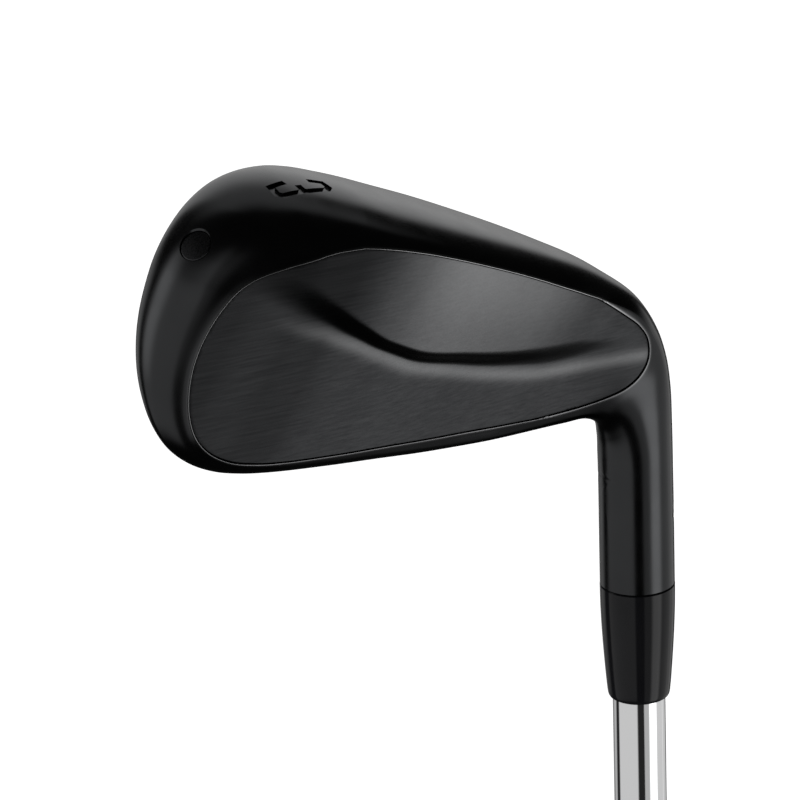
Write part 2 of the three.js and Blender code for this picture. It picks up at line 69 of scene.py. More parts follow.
# ---- camera ----
CAMERA = {"azimuth": -18.0, "elevation": 22.0, "roll": 1.66, "distance": 1.2, "lens": 305.1}
CAMERA_RIGHT = 0.0420             # how far the hosel end sits right of the picture's centre
CAMERA_BELOW = 0.03204            # and below it


def make_camera():
    azimuth, elevation = radians(CAMERA["azimuth"]), radians(CAMERA["elevation"])
    roll = radians(CAMERA["roll"])
    back = Vector((sin(azimuth) * cos(elevation), -cos(azimuth) * cos(elevation), sin(elevation)))
    level = Vector((cos(azimuth), sin(azimuth), 0))
    upright = back.cross(level)
    right = level * cos(roll) - upright * sin(roll)
    up = upright * cos(roll) + level * sin(roll)
    aim = Vector((0, 0, HOSEL_Z * MM))
    place = aim + back * CAMERA["distance"] - right * CAMERA_RIGHT + up * CAMERA_BELOW
    data = bpy.data.cameras.new("camera")
    data.lens = CAMERA["lens"]
    data.sensor_width = 36
    data.clip_start, data.clip_end = 0.05, 40
    camera = bpy.data.objects.new("camera", data)
    turn = Matrix((right, up, back)).transposed().to_4x4()
    camera.matrix_world = Matrix.Translation(place) @ turn
    bpy.context.scene.collection.objects.link(camera)
    bpy.context.scene.camera = camera


# ---- small maths ----
def mix(a, b, k):
    return a + (b - a) * k


def smooth(low, high, v):
    k = np.clip((np.asarray(v, float) - low) / (high - low), 0, 1)
    return k * k * (3 - 2 * k)


def curve_through(rows):
    """A smooth curve y(x) through [x, y] rows that never overshoots them."""
    x, y = np.array(rows, float).T
    gap = np.diff(x)
    slope = np.diff(y) / gap
    before, after = slope[:-1], slope[1:]
    same_way = before * after > 0
    turn = np.where(same_way, 2 * before * after / np.where(same_way, before + after, 1), 0)
    tangent = np.concatenate([slope[:1], turn, slope[-1:]])

    def at(v):
        v = np.clip(v, x[0], x[-1])
        i = np.clip(np.searchsorted(x, v, side="right") - 1, 0, len(x) - 2)
        k = (v - x[i]) / gap[i]
        start = (1 + 2 * k) * (1 - k) ** 2 * y[i] + k * (1 - k) ** 2 * gap[i] * tangent[i]
        end = k * k * (3 - 2 * k) * y[i + 1] + k * k * (k - 1) * gap[i] * tangent[i + 1]
        return start + end

    return at


def spline(points):
    """Centripetal Catmull-Rom curve: whole numbers are the points themselves."""
    p = np.array(points, float)
    padded = np.vstack([2 * p[0] - p[1], p, 2 * p[-1] - p[-2]])
    gap = np.linalg.norm(np.diff(padded, axis=0), axis=1) ** 0.5

    def at(k):
        k = np.clip(np.asarray(k, float), 0, len(p) - 1)
        i = np.minimum(k.astype(int), len(p) - 2)
        f = (k - i)[..., None]
        p0, p1, p2, p3 = (padded[i + j] for j in range(4))
        d0, d1, d2 = (gap[i + j][..., None] for j in range(3))
        m1 = ((p1 - p0) / d0 - (p2 - p0) / (d0 + d1) + (p2 - p1) / d1) * d1
        m2 = ((p2 - p1) / d1 - (p3 - p1) / (d1 + d2) + (p3 - p2) / d2) * d1
        near = (2 * f**3 - 3 * f**2 + 1) * p1 + (f**3 - 2 * f**2 + f) * m1
        return near + (3 * f**2 - 2 * f**3) * p2 + (f**3 - f**2) * m2

    return at


def inside(points, loop):
    """Which (x, z) points lie inside a closed loop."""
    x, z = points[:, 0, None], points[:, 1, None]
    x0, z0 = loop[None, :, 0], loop[None, :, 1]
    x1, z1 = np.roll(loop, -1, 0)[None, :, 0], np.roll(loop, -1, 0)[None, :, 1]
    crosses = (z0 > z) != (z1 > z)
    rise = np.where(z1 == z0, 1, z1 - z0)
    return (crosses & (x < (x1 - x0) * (z - z0) / rise + x0)).sum(1) % 2 == 1


def nearest_on_loop(points, loop):
    """Distance of each point to a closed loop, and the loop index it is nearest to."""
    distance = np.empty(len(points))
    where = np.empty(len(points), int)
    after = np.roll(loop, -1, 0)
    for start in range(0, len(points), 2000):
        p = points[start:start + 2000]
        flat = np.linalg.norm(p[:, None] - loop[None], axis=2)
        near = flat.argmin(1)
        best = flat[np.arange(len(p)), near]
        for first in (near, (near - 1) % len(loop)):
            a, b = loop[first], after[first]
            along = np.clip(((p - a) * (b - a)).sum(1) / ((b - a) ** 2).sum(1), 0, 1)
            best = np.minimum(best, np.linalg.norm(p - a - along[:, None] * (b - a), axis=1))
        distance[start:start + 2000] = best
        where[start:start + 2000] = near
    return distance, where


# ---- head axes at address: T heel to toe, U up, Y towards the target ----
LIE, LOFT = radians(60.2), radians(20)
SOLE_DROP = 56.0
LEADING_F = 4.0
HOSEL_R = 6.65
BORE_R = 5.05
BORE_DEPTH = 32.0
T_AXIS = np.array([-sin(LIE), cos(LIE)])
U_AXIS = np.array([-cos(LIE), -sin(LIE)])
BLADE_SHIFT = 0.8                 # how far the blade lies heelwards of the shaft axis
GROUND = np.array([BLADE_SHIFT, SOLE_DROP])


def to_xz(tu):
    tu = np.asarray(tu, float)
    return tu[..., :1] * T_AXIS + tu[..., 1:2] * U_AXIS + GROUND


def to_tu(xz):
    return (xz - GROUND) @ T_AXIS, (xz - GROUND) @ U_AXIS


# ---- head outline ----
# Each row: sole-side edge, spine, topline-side edge.  The hosel rows are
# [x, z]; the blade rows and the toe are [t, u].
HOSEL_ROWS = [
    [[6.65, 0], [0, 0], [-6.65, 0]],
    [[6.65, 10], [0, 10], [-6.65, 10]],
    [[6.6, 21], [0, 20.2], [-6.65, 19]],
    [[6.5, 30], [-0.1, 27.4], [-6.75, 25]],
    [[6.15, 37.5], [-0.8, 32.8], [-7.1, 29]],
    [[5.2, 43.4], [-2.0, 37.6], [-8.1, 32.4]],
    [[3.3, 49.0], [-4.4, 42.2], [-10.9, 34.2]],
    [[-0.3, 54.8], [-8.6, 45.6], [-15.5, 34.6]],
    [[-6.2, 59.7], [-14.0, 48.1], [-20.9, 34.9]],
]
BLADE_ROWS = [
    [[13, -0.2], [13.6, 13.2], [14, 32.0]],
    [[20, -0.2], [20, 16.4], [20, 35.1]],
    [[28, 0.0], [28, 19.5], [28, 39.0]],
    [[37, 0.5], [37, 22.1], [37, 43.0]],
    [[46, 1.2], [45.5, 22.6], [46, 47.1]],
    [[54, 2.1], [52.5, 20.9], [54, 50.7]],
    [[60, 2.8], [58, 19.4], [60, 53.1]],
]
TOE_POINTS = [
    [65, 3.6], [69.5, 4.5], [74.1, 6.0], [78.8, 8.7], [82.4, 12.1], [85.0, 16.3],
    [86.6, 20.9], [87.4, 26], [87.3, 31], [86.7, 35.7], [85.5, 40.1], [83.6, 44.4],
    [81.1, 48.1], [77.9, 51.4], [74.0, 53.8], [69.5, 54.8], [64.8, 54.5],
]
ROWS = np.array(HOSEL_ROWS + to_xz(BLADE_ROWS).tolist())
TOE_START = len(ROWS) - 1
OUTLINE = np.vstack([ROWS[:, 0], to_xz(TOE_POINTS), ROWS[::-1, 2]])
END = len(OUTLINE) - 1
TOE_END = END - TOE_START
outline_at = spline(OUTLINE)
spine_at = spline(ROWS[:, 1])


def row_of(i):
    return np.minimum(np.minimum(i, END - i), TOE_START)


def round_toe(i):
    """0 on the sole side, 1 on the topline side, between them round the toe."""
    return np.clip((np.asarray(i, float) - TOE_START) / (TOE_END - TOE_START), 0, 1)


# ---- front and back surfaces of the blade ----
def face_depth(t, u):
    return LEADING_F - u * tan(LOFT)


BACK_TILT = 0.055
back_ledge = curve_through([
    [-8, -7.8], [6, -8.4], [21, -11.2], [36, -15.0], [46, -17.0], [58, -18.2], [90, -18.8],
])
crease_u = curve_through([
    [-6, 3.4], [-0.5, 5.8], [16.4, 13.7], [24, 16.8], [30.9, 18.9], [41.6, 21.5],
    [46.9, 21.6], [52.6, 20.6], [60.5, 18.5], [65.7, 17.2], [90, 16],
])
crease_width = curve_through([
    [-6, 4.0], [13, 4.9], [22, 4.2], [40, 3.0], [46.5, 2.8], [57, 4.4], [65, 6.6], [90, 8],
])
crease_depth = curve_through([
    [-6, 0.3], [2, 0.8], [14, 1.6], [30, 2.2], [50, 2.3], [64, 1.7], [74, 0.7], [90, 0.2],
])
CREASE_BIAS = 0.35


def back_depth(t, u):
    fall = 1 - smooth(0, 1, (u - crease_u(t)) / crease_width(t))
    return back_ledge(t) - BACK_TILT * (u - 4) + crease_depth(t) * (CREASE_BIAS - fall)


sole_border = curve_through([
    [-10, 1.9], [2, 2.0], [6, 2.6], [11, 3.4], [22, 3.5], [33, 3.6], [45, 4.0], [55, 4.9], [60, 6.0],
])
toe_border = curve_through([
    [0, 6.0], [0.08, 7.9], [0.16, 10.7], [0.24, 13.4], [0.32, 13.9], [0.43, 11.6],
    [0.5, 10.4], [0.57, 9.6], [0.63, 8.6], [0.72, 7.1], [0.8, 5.5], [0.88, 3.9], [1, 2.7],
])
topline_border = curve_through([
    [-10, 1.9], [2, 2.0], [6, 2.5], [11, 3.3], [26, 3.6], [46, 3.2], [57, 2.8], [62, 2.7],
])
toe_corner = curve_through([[0, 0.5], [0.25, 2.2], [0.45, 3.0], [0.7, 1.8], [1, 0.3]])


def stated_inset(i):
    """The tables' inset of the back panel at places i."""
    t, _ = to_tu(outline_at(i))
    w = round_toe(i)
    blade = np.where(w <= 0, sole_border(t), topline_border(t))
    return np.where((w > 0) & (w < 1), toe_border(w), blade)


INSET_STEP = 0.02
INSET_SPREAD = 0.65               # rows over which the tables' kinks are evened out
INSET_I = np.arange(0, END + INSET_STEP / 2, INSET_STEP)


def evened(values):
    reach = round(3 * INSET_SPREAD / INSET_STEP)
    weights = np.exp(-((np.arange(-reach, reach + 1) * INSET_STEP / INSET_SPREAD) ** 2) / 2)
    return np.convolve(np.pad(values, reach, "edge"), weights / weights.sum(), "valid")


INSET = evened(stated_inset(INSET_I))


def border_inset(i):
    """How far in from the outline the back panel starts."""
    return np.interp(i, INSET_I, INSET)


# ---- ribs: one cross-section of the head for each place i along the outline ----
BLEND_ROWS = (2.6, 9.6)           # hosel circle before, blade section after
EVEN_ROWS = (2.6, 4.2)            # evenly spread points before, blade-like spread after
FACE_EDGE = (1.5, 0.7)            # radius between rim and face, on the sole and at the toe
EDGE_START = 0.1                  # how far in from the outline the rim's side starts
BULGE = (0.9, 0.25)               # how far the rim swells, on the sole and at the toe
BULGE_DROP = 0.42                 # where on the side it swells, as a share of its height
CORNER_LIFT = 0.06                # how far the toe corner stands over the border


class Ribs:
    def __init__(self, i):
        self.i = np.asarray(i, float)
        self.edge = outline_at(self.i)
        self.centre = spine_at(row_of(self.i))
        self.length = np.linalg.norm(self.centre - self.edge, axis=1)
        self.share = smooth(*BLEND_ROWS, row_of(self.i))
        self.inset = border_inset(self.i)
        self.face_edge = mix(*FACE_EDGE, smooth(0.1, 0.6, round_toe(self.i)))

    def at(self, n):
        """(x, z) at an inset n from the outline; n has one row for each rib."""
        k = (n / self.length[:, None])[..., None]
        return self.edge[:, None] + (self.centre - self.edge)[:, None] * k

    def surface(self, n, front):
        """Points of the front or back skin at insets n."""
        xz = self.at(n)
        depth = skin_depth(xz, n / self.length[:, None], self.share[:, None], front)
        return np.concatenate([xz[..., :1], depth[..., None], xz[..., 1:]], axis=2)

    def rim(self, steps):
        """Points round the rim, from the face edge to the border of the back."""
        profile, arc = self.rim_profile()
        total = arc[:, -1:]
        edge_arc = arc[:, RIM_DETAIL["edge"] - 1][:, None]
        where = steps(total, edge_arc)
        n, depth = (
            np.array([np.interp(w, a, p) for w, a, p in zip(where, arc, profile[..., k])])
            for k in (0, 1)
        )
        angle = self.hosel_angle(profile, total, where / total)
        share = self.share[:, None]
        n = mix(self.length[:, None] * (1 - np.cos(angle)), n, share)
        depth = mix(HOSEL_R * np.sin(angle), depth, share)
        xz = self.at(n)
        return np.concatenate([xz[..., :1], depth[..., None], xz[..., 1:]], axis=2)

    def rim_profile(self):
        """Blade rim as [inset, depth] points, and the length along it."""
        w = round_toe(self.i)
        e = self.face_edge
        face0 = face_depth(*to_tu(self.at(np.zeros((len(e), 1)))))[:, 0]
        face_slope = face_depth(*to_tu(self.at(np.ones((len(e), 1)))))[:, 0] - face0
        border = np.stack([self.inset, self.back_at_border()], 1)
        start = np.stack([np.full_like(e, EDGE_START), face0 - e], 1)
        fall = start[:, 1] - border[:, 1]
        swell = mix(*BULGE, smooth(0.3, 1, w))
        bulge = np.stack([-swell, start[:, 1] - BULGE_DROP * fall], 1)
        corner = np.stack([toe_corner(w), border[:, 1] + CORNER_LIFT * fall], 1)
        away = (bulge - start) / np.linalg.norm(bulge - start, axis=1)[:, None]
        reach = face0 + face_slope * start[:, 0] - start[:, 1]
        reach = reach / (face_slope * away[:, 0] - away[:, 1])
        knee = start - away * reach[:, None]
        face = np.stack([e, face0 + face_slope * e], 1)
        turn = bezier([face, knee, start], RIM_DETAIL["edge"])
        side = bezier([start, bulge, corner, border], RIM_DETAIL["side"])
        profile = np.concatenate([turn, side[:, 1:]], axis=1)
        step = np.linalg.norm(np.diff(profile, axis=1), axis=2)
        arc = np.concatenate([np.zeros((len(e), 1)), np.cumsum(step, axis=1)], axis=1)
        return profile, arc

    def back_at_border(self):
        return back_depth(*to_tu(self.at(self.inset[:, None])))[:, 0]

    def hosel_angle(self, profile, total, s):
        """Angle round the hosel that goes with each place s along the rim."""
        length = self.length
        first = np.arccos(1 - self.face_edge / length)
        last = -np.arccos(1 - self.inset / length)
        lead = profile[:, 1] - profile[:, 0]
        tail = profile[:, -1] - profile[:, -2]
        speed = [v[:, 0] / np.linalg.norm(v, axis=1) * total[:, 0] for v in (lead, tail)]
        # on the round hosel the points spread evenly; in the blend they follow the blade's
        free = smooth(*EVEN_ROWS, row_of(self.i))
        fastest = mix(1.5, 2.5, free) * (last - first)
        slowest = mix(0.6, 0, free) * (last - first)
        m0 = np.clip(speed[0] / (length * np.sin(first)), fastest, slowest)[:, None]
        m1 = np.clip(speed[1] / (length * np.sin(last)), fastest, slowest)[:, None]
        first, last = first[:, None], last[:, None]
        start = (2 * s**3 - 3 * s**2 + 1) * first + (s**3 - 2 * s**2 + s) * m0
        return start + (3 * s**2 - 2 * s**3) * last + (s**3 - s**2) * m1


def bezier(points, count):
    v = np.linspace(0, 1, count)[None, :, None]
    p = [q[:, None] for q in points]
    while len(p) > 1:
        p = [mix(a, b, v) for a, b in zip(p, p[1:])]
    return p[0]


def skin_depth(xz, k, share, front):
    """Depth of the skin where k = 0 is the outline and k = 1 the spine."""
    round_part = HOSEL_R * np.sqrt(np.clip(1 - (1 - k) ** 2, 0, 1))
    if front:
        return mix(round_part, face_depth(*to_tu(xz)), share)
    return mix(-round_part, back_depth(*to_tu(xz)), share)


# Where a free (x, z) point lies among the ribs of the heel, sole side and topline side.
HEEL_TABLE = np.linspace(3.0, 10.5, 400)
HEEL_SIDES = [
    (outline_at(HEEL_TABLE), spine_at(HEEL_TABLE)),
    (outline_at(END - HEEL_TABLE), spine_at(HEEL_TABLE)),
]


def heel_place(xz):
    """Row and k of free points in the heel; the row is high beyond it."""
    row = np.full(len(xz), float(TOE_START))
    part = np.ones(len(xz))
    for edge, centre in HEEL_SIDES:
        line = centre - edge
        away = xz[:, None] - edge[None]
        side = line[None, :, 0] * away[..., 1] - line[None, :, 1] * away[..., 0]
        k = (away * line[None]).sum(2) / (line**2).sum(1)[None]
        hit = (side[:, :-1] * side[:, 1:] <= 0) & (k[:, :-1] > -0.2) & (k[:, :-1] <= 1.001)
        found = hit.any(1)
        first = hit.argmax(1)
        a = side[np.arange(len(xz)), first]
        b = side[np.arange(len(xz)), first + 1]
        f = a / np.where(a == b, 1, a - b)
        row = np.where(found, HEEL_TABLE[first] + f * (HEEL_TABLE[1] - HEEL_TABLE[0]), row)
        near, far = k[np.arange(len(xz)), first], k[np.arange(len(xz)), first + 1]
        part = np.where(found, mix(near, far, f), part)
    return row, part


HEEL_T = 26.0                     # the blend with the hosel is over by here


def free_depth(xz, front):
    """Skin depth at free (x, z) points, an array of shape (n, 2)."""
    depth = (face_depth if front else back_depth)(*to_tu(xz))
    t, _ = to_tu(xz)
    heel = t < HEEL_T
    if heel.any():
        row, k = heel_place(xz[heel])
        depth[heel] = skin_depth(xz[heel], k, smooth(*BLEND_ROWS, row), front)
    return depth


# ---- meshes ----
WELD = 2e-6                       # metres; points nearer than this become one
SHARP = radians(38)               # edges that turn further than this stay sharp


class Piece:
    """Points and faces gathered patch by patch, in millimetres."""

    def __init__(self):
        self.points = []
        self.faces = []
        self.count = 0

    def add(self, points):
        points = np.asarray(points, float)
        ids = np.arange(points.size // 3).reshape(points.shape[:-1]) + self.count
        self.points.append(points.reshape(-1, 3))
        self.count += ids.size
        return ids

    def quads(self, ids):
        corner = [ids[:-1, :-1], ids[1:, :-1], ids[1:, 1:], ids[:-1, 1:]]
        self.faces.extend(np.stack([c.ravel() for c in corner], 1).tolist())

    def ring_strip(self, first, second):
        """Quads between two closed rings with the same number of points."""
        self.quads(np.stack([np.append(first, first[0]), np.append(second, second[0])], 1))

    def fan(self, ring, centre):
        middle = self.add([centre])[0]
        self.faces.extend([middle, a, b] for a, b in zip(ring, np.roll(ring, -1)))

    def mesh(self, name, lift=0.0):
        """The gathered patches as one welded mesh in metres, faces pointing out."""
        points = np.concatenate(self.points) + [0, 0, lift]
        mesh = bpy.data.meshes.new(name)
        mesh.from_pydata((points * MM).tolist(), [], self.faces)
        edit = bmesh.new()
        edit.from_mesh(mesh)
        bmesh.ops.remove_doubles(edit, verts=edit.verts, dist=WELD)
        bmesh.ops.dissolve_degenerate(edit, edges=edit.edges, dist=WELD)
        bmesh.ops.recalc_face_normals(edit, faces=edit.faces)
        edit.to_mesh(mesh)
        edit.free()
        return mesh


def place(name, mesh, material, slot, *nodes):
    """Puts a finished mesh into the scene in the place of CAD nodes."""
    edit = bmesh.new()
    edit.from_mesh(mesh)
    for edge in edit.edges:
        edge.smooth = len(edge.link_faces) == 2 and edge.calc_face_angle(0) < SHARP
    for face in edit.faces:
        face.smooth = True
    edit.to_mesh(mesh)
    edit.free()
    piece = bpy.data.objects.new(name, mesh)
    bpy.context.scene.collection.objects.link(piece)
    piece.data.materials.clear()
    piece.data.materials.append(material)
    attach(piece, BODY)
    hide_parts(*nodes)
    return piece


def cut(mesh, *tools):
    """The mesh with closed tool meshes cut away."""
    for tool in tools:
        body = bpy.data.objects.new("body", mesh)
        cutter = bpy.data.objects.new("cutter", tool)
        for thing in (body, cutter):
            bpy.context.scene.collection.objects.link(thing)
        modifier = body.modifiers.new("cut", "BOOLEAN")
        modifier.operation = "DIFFERENCE"
        modifier.solver = "EXACT"
        modifier.object = cutter
        bpy.context.view_layer.update()
        result = bpy.data.meshes.new_from_object(
            body.evaluated_get(bpy.context.evaluated_depsgraph_get()))
        result.name = mesh.name
        for thing in (body, cutter):
            bpy.data.objects.remove(thing)
        bpy.data.meshes.remove(tool)
        mesh = result
    return mesh


def hex_points(loop, spacing):
    """A triangular lattice over the box round a loop."""
    low, high = loop.min(0) - spacing, loop.max(0) + spacing
    lift = spacing * 3**0.5 / 2
    rows = np.arange(low[1], high[1], lift)
    x = np.arange(low[0], high[0], spacing)
    odd = (np.arange(len(rows)) % 2)[:, None] * spacing / 2
    grid = np.stack(np.broadcast_arrays(x[None] + odd, rows[:, None]), 2)
    return grid.reshape(-1, 2)


def triangulate(loops, free):
    """Triangles of the region inside loops[0] and outside the other loops.

    Points are numbered loop after loop, then the free ones."""
    points = np.concatenate([*loops, free])
    edges = []
    start = 0
    for loop in loops:
        ids = np.arange(start, start + len(loop))
        edges.extend(zip(ids.tolist(), np.roll(ids, -1).tolist()))
        start += len(loop)
    result = delaunay_2d_cdt([Vector(p) for p in points], edges, [], 0, 1e-7)
    kept, triangles, sources = result[0], np.array(result[2]), result[3]
    if len(kept) != len(points):
        raise ValueError(f"{len(points)} points became {len(kept)}")
    order = np.array([source[0] for source in sources])
    triangles = order[triangles]
    middle = points[triangles].mean(1)
    a, b, c = (points[triangles[:, k]] for k in range(3))
    area = (b - a)[:, 0] * (c - a)[:, 1] - (b - a)[:, 1] * (c - a)[:, 0]
    keep = inside(middle, loops[0]) & (np.abs(area) > 1e-7)
    for hole in loops[1:]:
        keep &= ~inside(middle, hole)
    return triangles[keep]


def lathe(profile, sides):
    """A closed turned piece about Z: the profile of [radius, z] closes on itself or
    starts and ends on the axis."""
    piece = Piece()
    angle = np.linspace(0, 2 * pi, sides, endpoint=False)
    rings = []
    for r, z in profile:
        if r == 0:
            rings.append(piece.add([[0, 0, z]]))
        else:
            rings.append(piece.add(np.stack([r * np.cos(angle), r * np.sin(angle),
                                             np.full(sides, z)], 1)))
    for a, b in zip(rings, rings[1:]):
        if len(a) == 1:
            piece.faces.extend([a[0], b[k], b[(k + 1) % sides]] for k in range(sides))
        elif len(b) == 1:
            piece.faces.extend([b[0], a[(k + 1) % sides], a[k]] for k in range(sides))
        else:
            piece.ring_strip(a, b)
    return piece


def rounded(profile, radius, steps=5):
    """The same [r, z] profile with its inner corners rounded."""
    result = [profile[0]]
    for before, here, after in zip(profile, profile[1:], profile[2:]):
        before, here, after = (np.array(p, float) for p in (before, here, after))
        reach = min(radius, np.linalg.norm(before - here) / 2, np.linalg.norm(after - here) / 2)
        start = here + (before - here) / np.linalg.norm(before - here) * reach
        end = here + (after - here) / np.linalg.norm(after - here) * reach
        for k in np.linspace(0, 1, steps):
            result.append(tuple(mix(mix(start, here, k), mix(here, end, k), k)))
    return [*result, profile[-1]]


# ---- the border of the back panel ----
HEEL_LINE = 4.5                   # row where the heel patch meets the hosel grid
ARC_ROW = 8.5                     # row where the panel's heel arc leaves the ribs
FACE_LINE = 9.0                   # row where the front patch starts
HEEL_ARC = [
    [3.4, 4.3], [-0.4, 5.2], [-3.4, 7.0], [-5.0, 9.9],
    [-4.9, 13.0], [-3.6, 16.0], [-0.9, 19.2], [3.4, 22.7],
]
BORDER_STEPS = np.array([0, 0.03, 0.07, 0.12, 0.19, 0.28, 0.4, 0.55, 0.75, 1.0, 1.3, 1.7])
RIM_DETAIL = {"edge": 24, "side": 160, "edge_steps": 6, "side_steps": 28}


def rim_steps(total, edge_arc):
    """Places along the rim, gathered at the border and at the face edge."""
    edge = edge_arc * np.linspace(0, 1, RIM_DETAIL["edge_steps"])
    reach = total - BORDER_STEPS[-1]
    middle = mix(edge_arc, reach, np.linspace(0, 1, RIM_DETAIL["side_steps"])[None, 1:])
    return np.concatenate([edge, middle, total - BORDER_STEPS[None, -2::-1]], axis=1)


ROW_SPACING = 0.5


def row_samples():
    """Rows from the hosel end to the toe fan, about half a millimetre apart."""
    knots = [0.01, HEEL_LINE, ARC_ROW, FACE_LINE, TOE_START]
    rows = [np.array([knots[0]])]
    for a, b in zip(knots, knots[1:]):
        fine = np.linspace(a, b, 200)
        reach = max(
            np.linalg.norm(np.diff(outline_at(side), axis=0), axis=1).sum()
            for side in (fine, END - fine)
        )
        rows.append(np.linspace(a, b, max(3, round(reach / ROW_SPACING)))[1:])
    return np.concatenate(rows)


ROW_SAMPLES = row_samples()
TOE_SAMPLES = np.linspace(TOE_START, TOE_END, 190)[1:-1]
I_SAMPLES = np.concatenate([ROW_SAMPLES, TOE_SAMPLES, END - ROW_SAMPLES[::-1]])


def border_points(i):
    """(x, z) of the panel's border on the ribs i."""
    ribs = Ribs(i)
    return ribs.at(ribs.inset[:, None])[:, 0]


ARC_COUNT = 110


def border_loop():
    """The whole border as (x, z): along the sole, toe and topline, then the heel arc."""
    on_ribs = I_SAMPLES[(row_of(I_SAMPLES) >= ARC_ROW)]
    lead = border_points(np.array([END - ARC_ROW - 1, END - ARC_ROW - 0.5, END - ARC_ROW]))
    tail = border_points(np.array([ARC_ROW, ARC_ROW + 0.5, ARC_ROW + 1]))
    arc = spline(np.concatenate([lead, to_xz(HEEL_ARC[::-1]), tail]))
    k = np.linspace(2, 2 + len(HEEL_ARC) + 1, ARC_COUNT)
    return border_points(on_ribs), arc(k)[1:-1]


BORDER_SIDE, BORDER_ARC = border_loop()
BORDER = np.concatenate([BORDER_SIDE, BORDER_ARC])
BORDER_DEPTH = free_depth(BORDER, front=False)
BORDER_3D = np.stack([BORDER[:, 0], BORDER_DEPTH, BORDER[:, 1]], 1)
PANEL_MIDDLE = to_xz([[30, 20]])[0]

# The body stands a little proud of the panel, in a lip that runs out softly.
LIP = {"toe": 0.34, "sole": 0.26, "topline": 0.12, "heel": 0.2}
LIP_WIDTH = {"toe": 0.75, "sole": 0.5, "topline": 0.5, "heel": 1.3}
LIP_ROUND = 0.1
TOE_SPAN = (52, 66)               # t over which the sides give way to the toe
HEEL_SPAN = (2, 10)               # and to the heel
MIDLINE = (11, 0.52)              # u at t = 0 and slope of the line between sole and topline
MIDLINE_SPAN = (-6, 6)


def along_border(values):
    """A value for each border point, from one for each side of the panel."""
    t, u = to_tu(BORDER)
    toe = smooth(*TOE_SPAN, t)
    heel = 1 - smooth(*HEEL_SPAN, t)
    upper = smooth(*MIDLINE_SPAN, u - (MIDLINE[0] + MIDLINE[1] * t))
    side = mix(values["sole"], values["topline"], upper)
    return mix(mix(side, values["toe"], toe), values["heel"], heel)


LIP_HEIGHTS = along_border(LIP)
LIP_WIDTHS = along_border(LIP_WIDTH)


def add_lip(points):
    """Body skin points, raised towards the border and rounded over at it."""
    flat = points.reshape(-1, 3).copy()
    low, high = BORDER_3D.min(0) - 6, BORDER_3D.max(0) + 6
    near = ((flat > low) & (flat < high)).all(1)
    distance, where = nearest_on_loop(flat[near], BORDER_3D)
    away = np.maximum(distance - LIP_ROUND, 0) / LIP_WIDTHS[where]
    lift = LIP_HEIGHTS[where] * np.exp(-away**1.6)
    gone = np.clip(1 - distance / LIP_ROUND, 0, 1)
    roll = LIP_ROUND * (1 - np.sqrt(1 - gone**2))
    flat[near, 1] += roll - lift
    return flat.reshape(points.shape)


# ---- head body ----
POCKET_DEPTH = 1.8                # back plate's pocket, below the back skin
FACE_POCKET = 2.1                 # face plate's pocket, below the face
LEDGE = 1.3                       # width of the ledge that the back plate rests on
THINNEST_RIM = 3.8                # inset of the inner cavity where the rim is narrow
CAVITY_ROW = 11                   # row of the heel where the cavity ends
FACE_INSET = 2.2
FACE_ROW = 10.0                   # row of the heel where the face plate ends
FACE_CHAMFER = 0.12               # bevel round the face plate's pocket


def polar_loop(loop, angles):
    """Points of a loop seen from the panel's middle at the given angles."""
    away = loop - PANEL_MIDDLE
    angle = np.arctan2(away[:, 1], away[:, 0])
    order = np.argsort(angle)
    angle = angle[order]
    radius = np.linalg.norm(away, axis=1)[order]
    reach = np.interp(angles, np.concatenate([angle - 2 * pi, angle, angle + 2 * pi]),
                      np.tile(radius, 3))
    return PANEL_MIDDLE + reach[:, None] * np.stack([np.cos(angles), np.sin(angles)], 1)


def inset_loop(inset, first_row, angles):
    """A smooth closed loop at an inset from the outline, cut off at a row of the heel."""
    i = np.arange(first_row, END - first_row + 0.01, 0.5)
    ribs = Ribs(i)
    side = ribs.at(inset(ribs)[:, None])[:, 0]
    heel_end = mix(side[-1], side[0], np.array([[0.12], [0.5], [0.88]]))
    heel_end[:, 0] += 1.2
    padded = np.concatenate([side[-3:], heel_end, side, heel_end[:1]])
    loop = spline(padded)(np.linspace(3, len(padded) - 1, 900))
    return polar_loop(loop, angles)


def raised(xz, depth):
    return np.stack([xz[:, 0], depth, xz[:, 1]], 1)


def outward(loop, distance):
    """A closed loop moved outwards by a small distance."""
    along = np.roll(loop, -1, 0) - np.roll(loop, 1, 0)
    normal = np.stack([along[:, 1], -along[:, 0]], 1)
    normal /= np.linalg.norm(normal, axis=1)[:, None]
    if inside((loop + normal * 0.01)[:1], loop)[0]:
        normal = -normal
    return loop + normal * distance


FRONT_STEPS = 22
BACK_STEPS = 26


def outer_grid(piece):
    """The skin from the hosel round the blade's rim: its point numbers, and the column
    of the panel's border among them."""
    ribs = Ribs(I_SAMPLES)
    length, inset, face_edge = (v[:, None] for v in (ribs.length, ribs.inset, ribs.face_edge))
    rim = add_lip(ribs.rim(rim_steps))
    front_n = mix(length, face_edge, np.linspace(0, 1, FRONT_STEPS)[None])
    back_n = mix(inset, length, np.linspace(0, 1, BACK_STEPS)[None])
    front = ribs.surface(front_n, front=True)
    back = add_lip(ribs.surface(back_n, front=False))
    ids = piece.add(np.concatenate([front[:, :-1], rim, back[:, 1:]], axis=1))
    edge = FRONT_STEPS - 1
    border = edge + rim.shape[1] - 1
    piece.quads(ids[:, edge:border + 1])
    rows = row_of(I_SAMPLES)
    for part, columns in ((rows <= FACE_LINE, ids[:, :edge + 1]), (rows <= HEEL_LINE, ids[:, border:])):
        kept = columns[part]
        half = len(kept) // 2
        piece.quads(kept[:half])
        piece.quads(kept[half:])
    return ids, border


def points_of(piece, ids):
    return np.concatenate(piece.points)[ids]


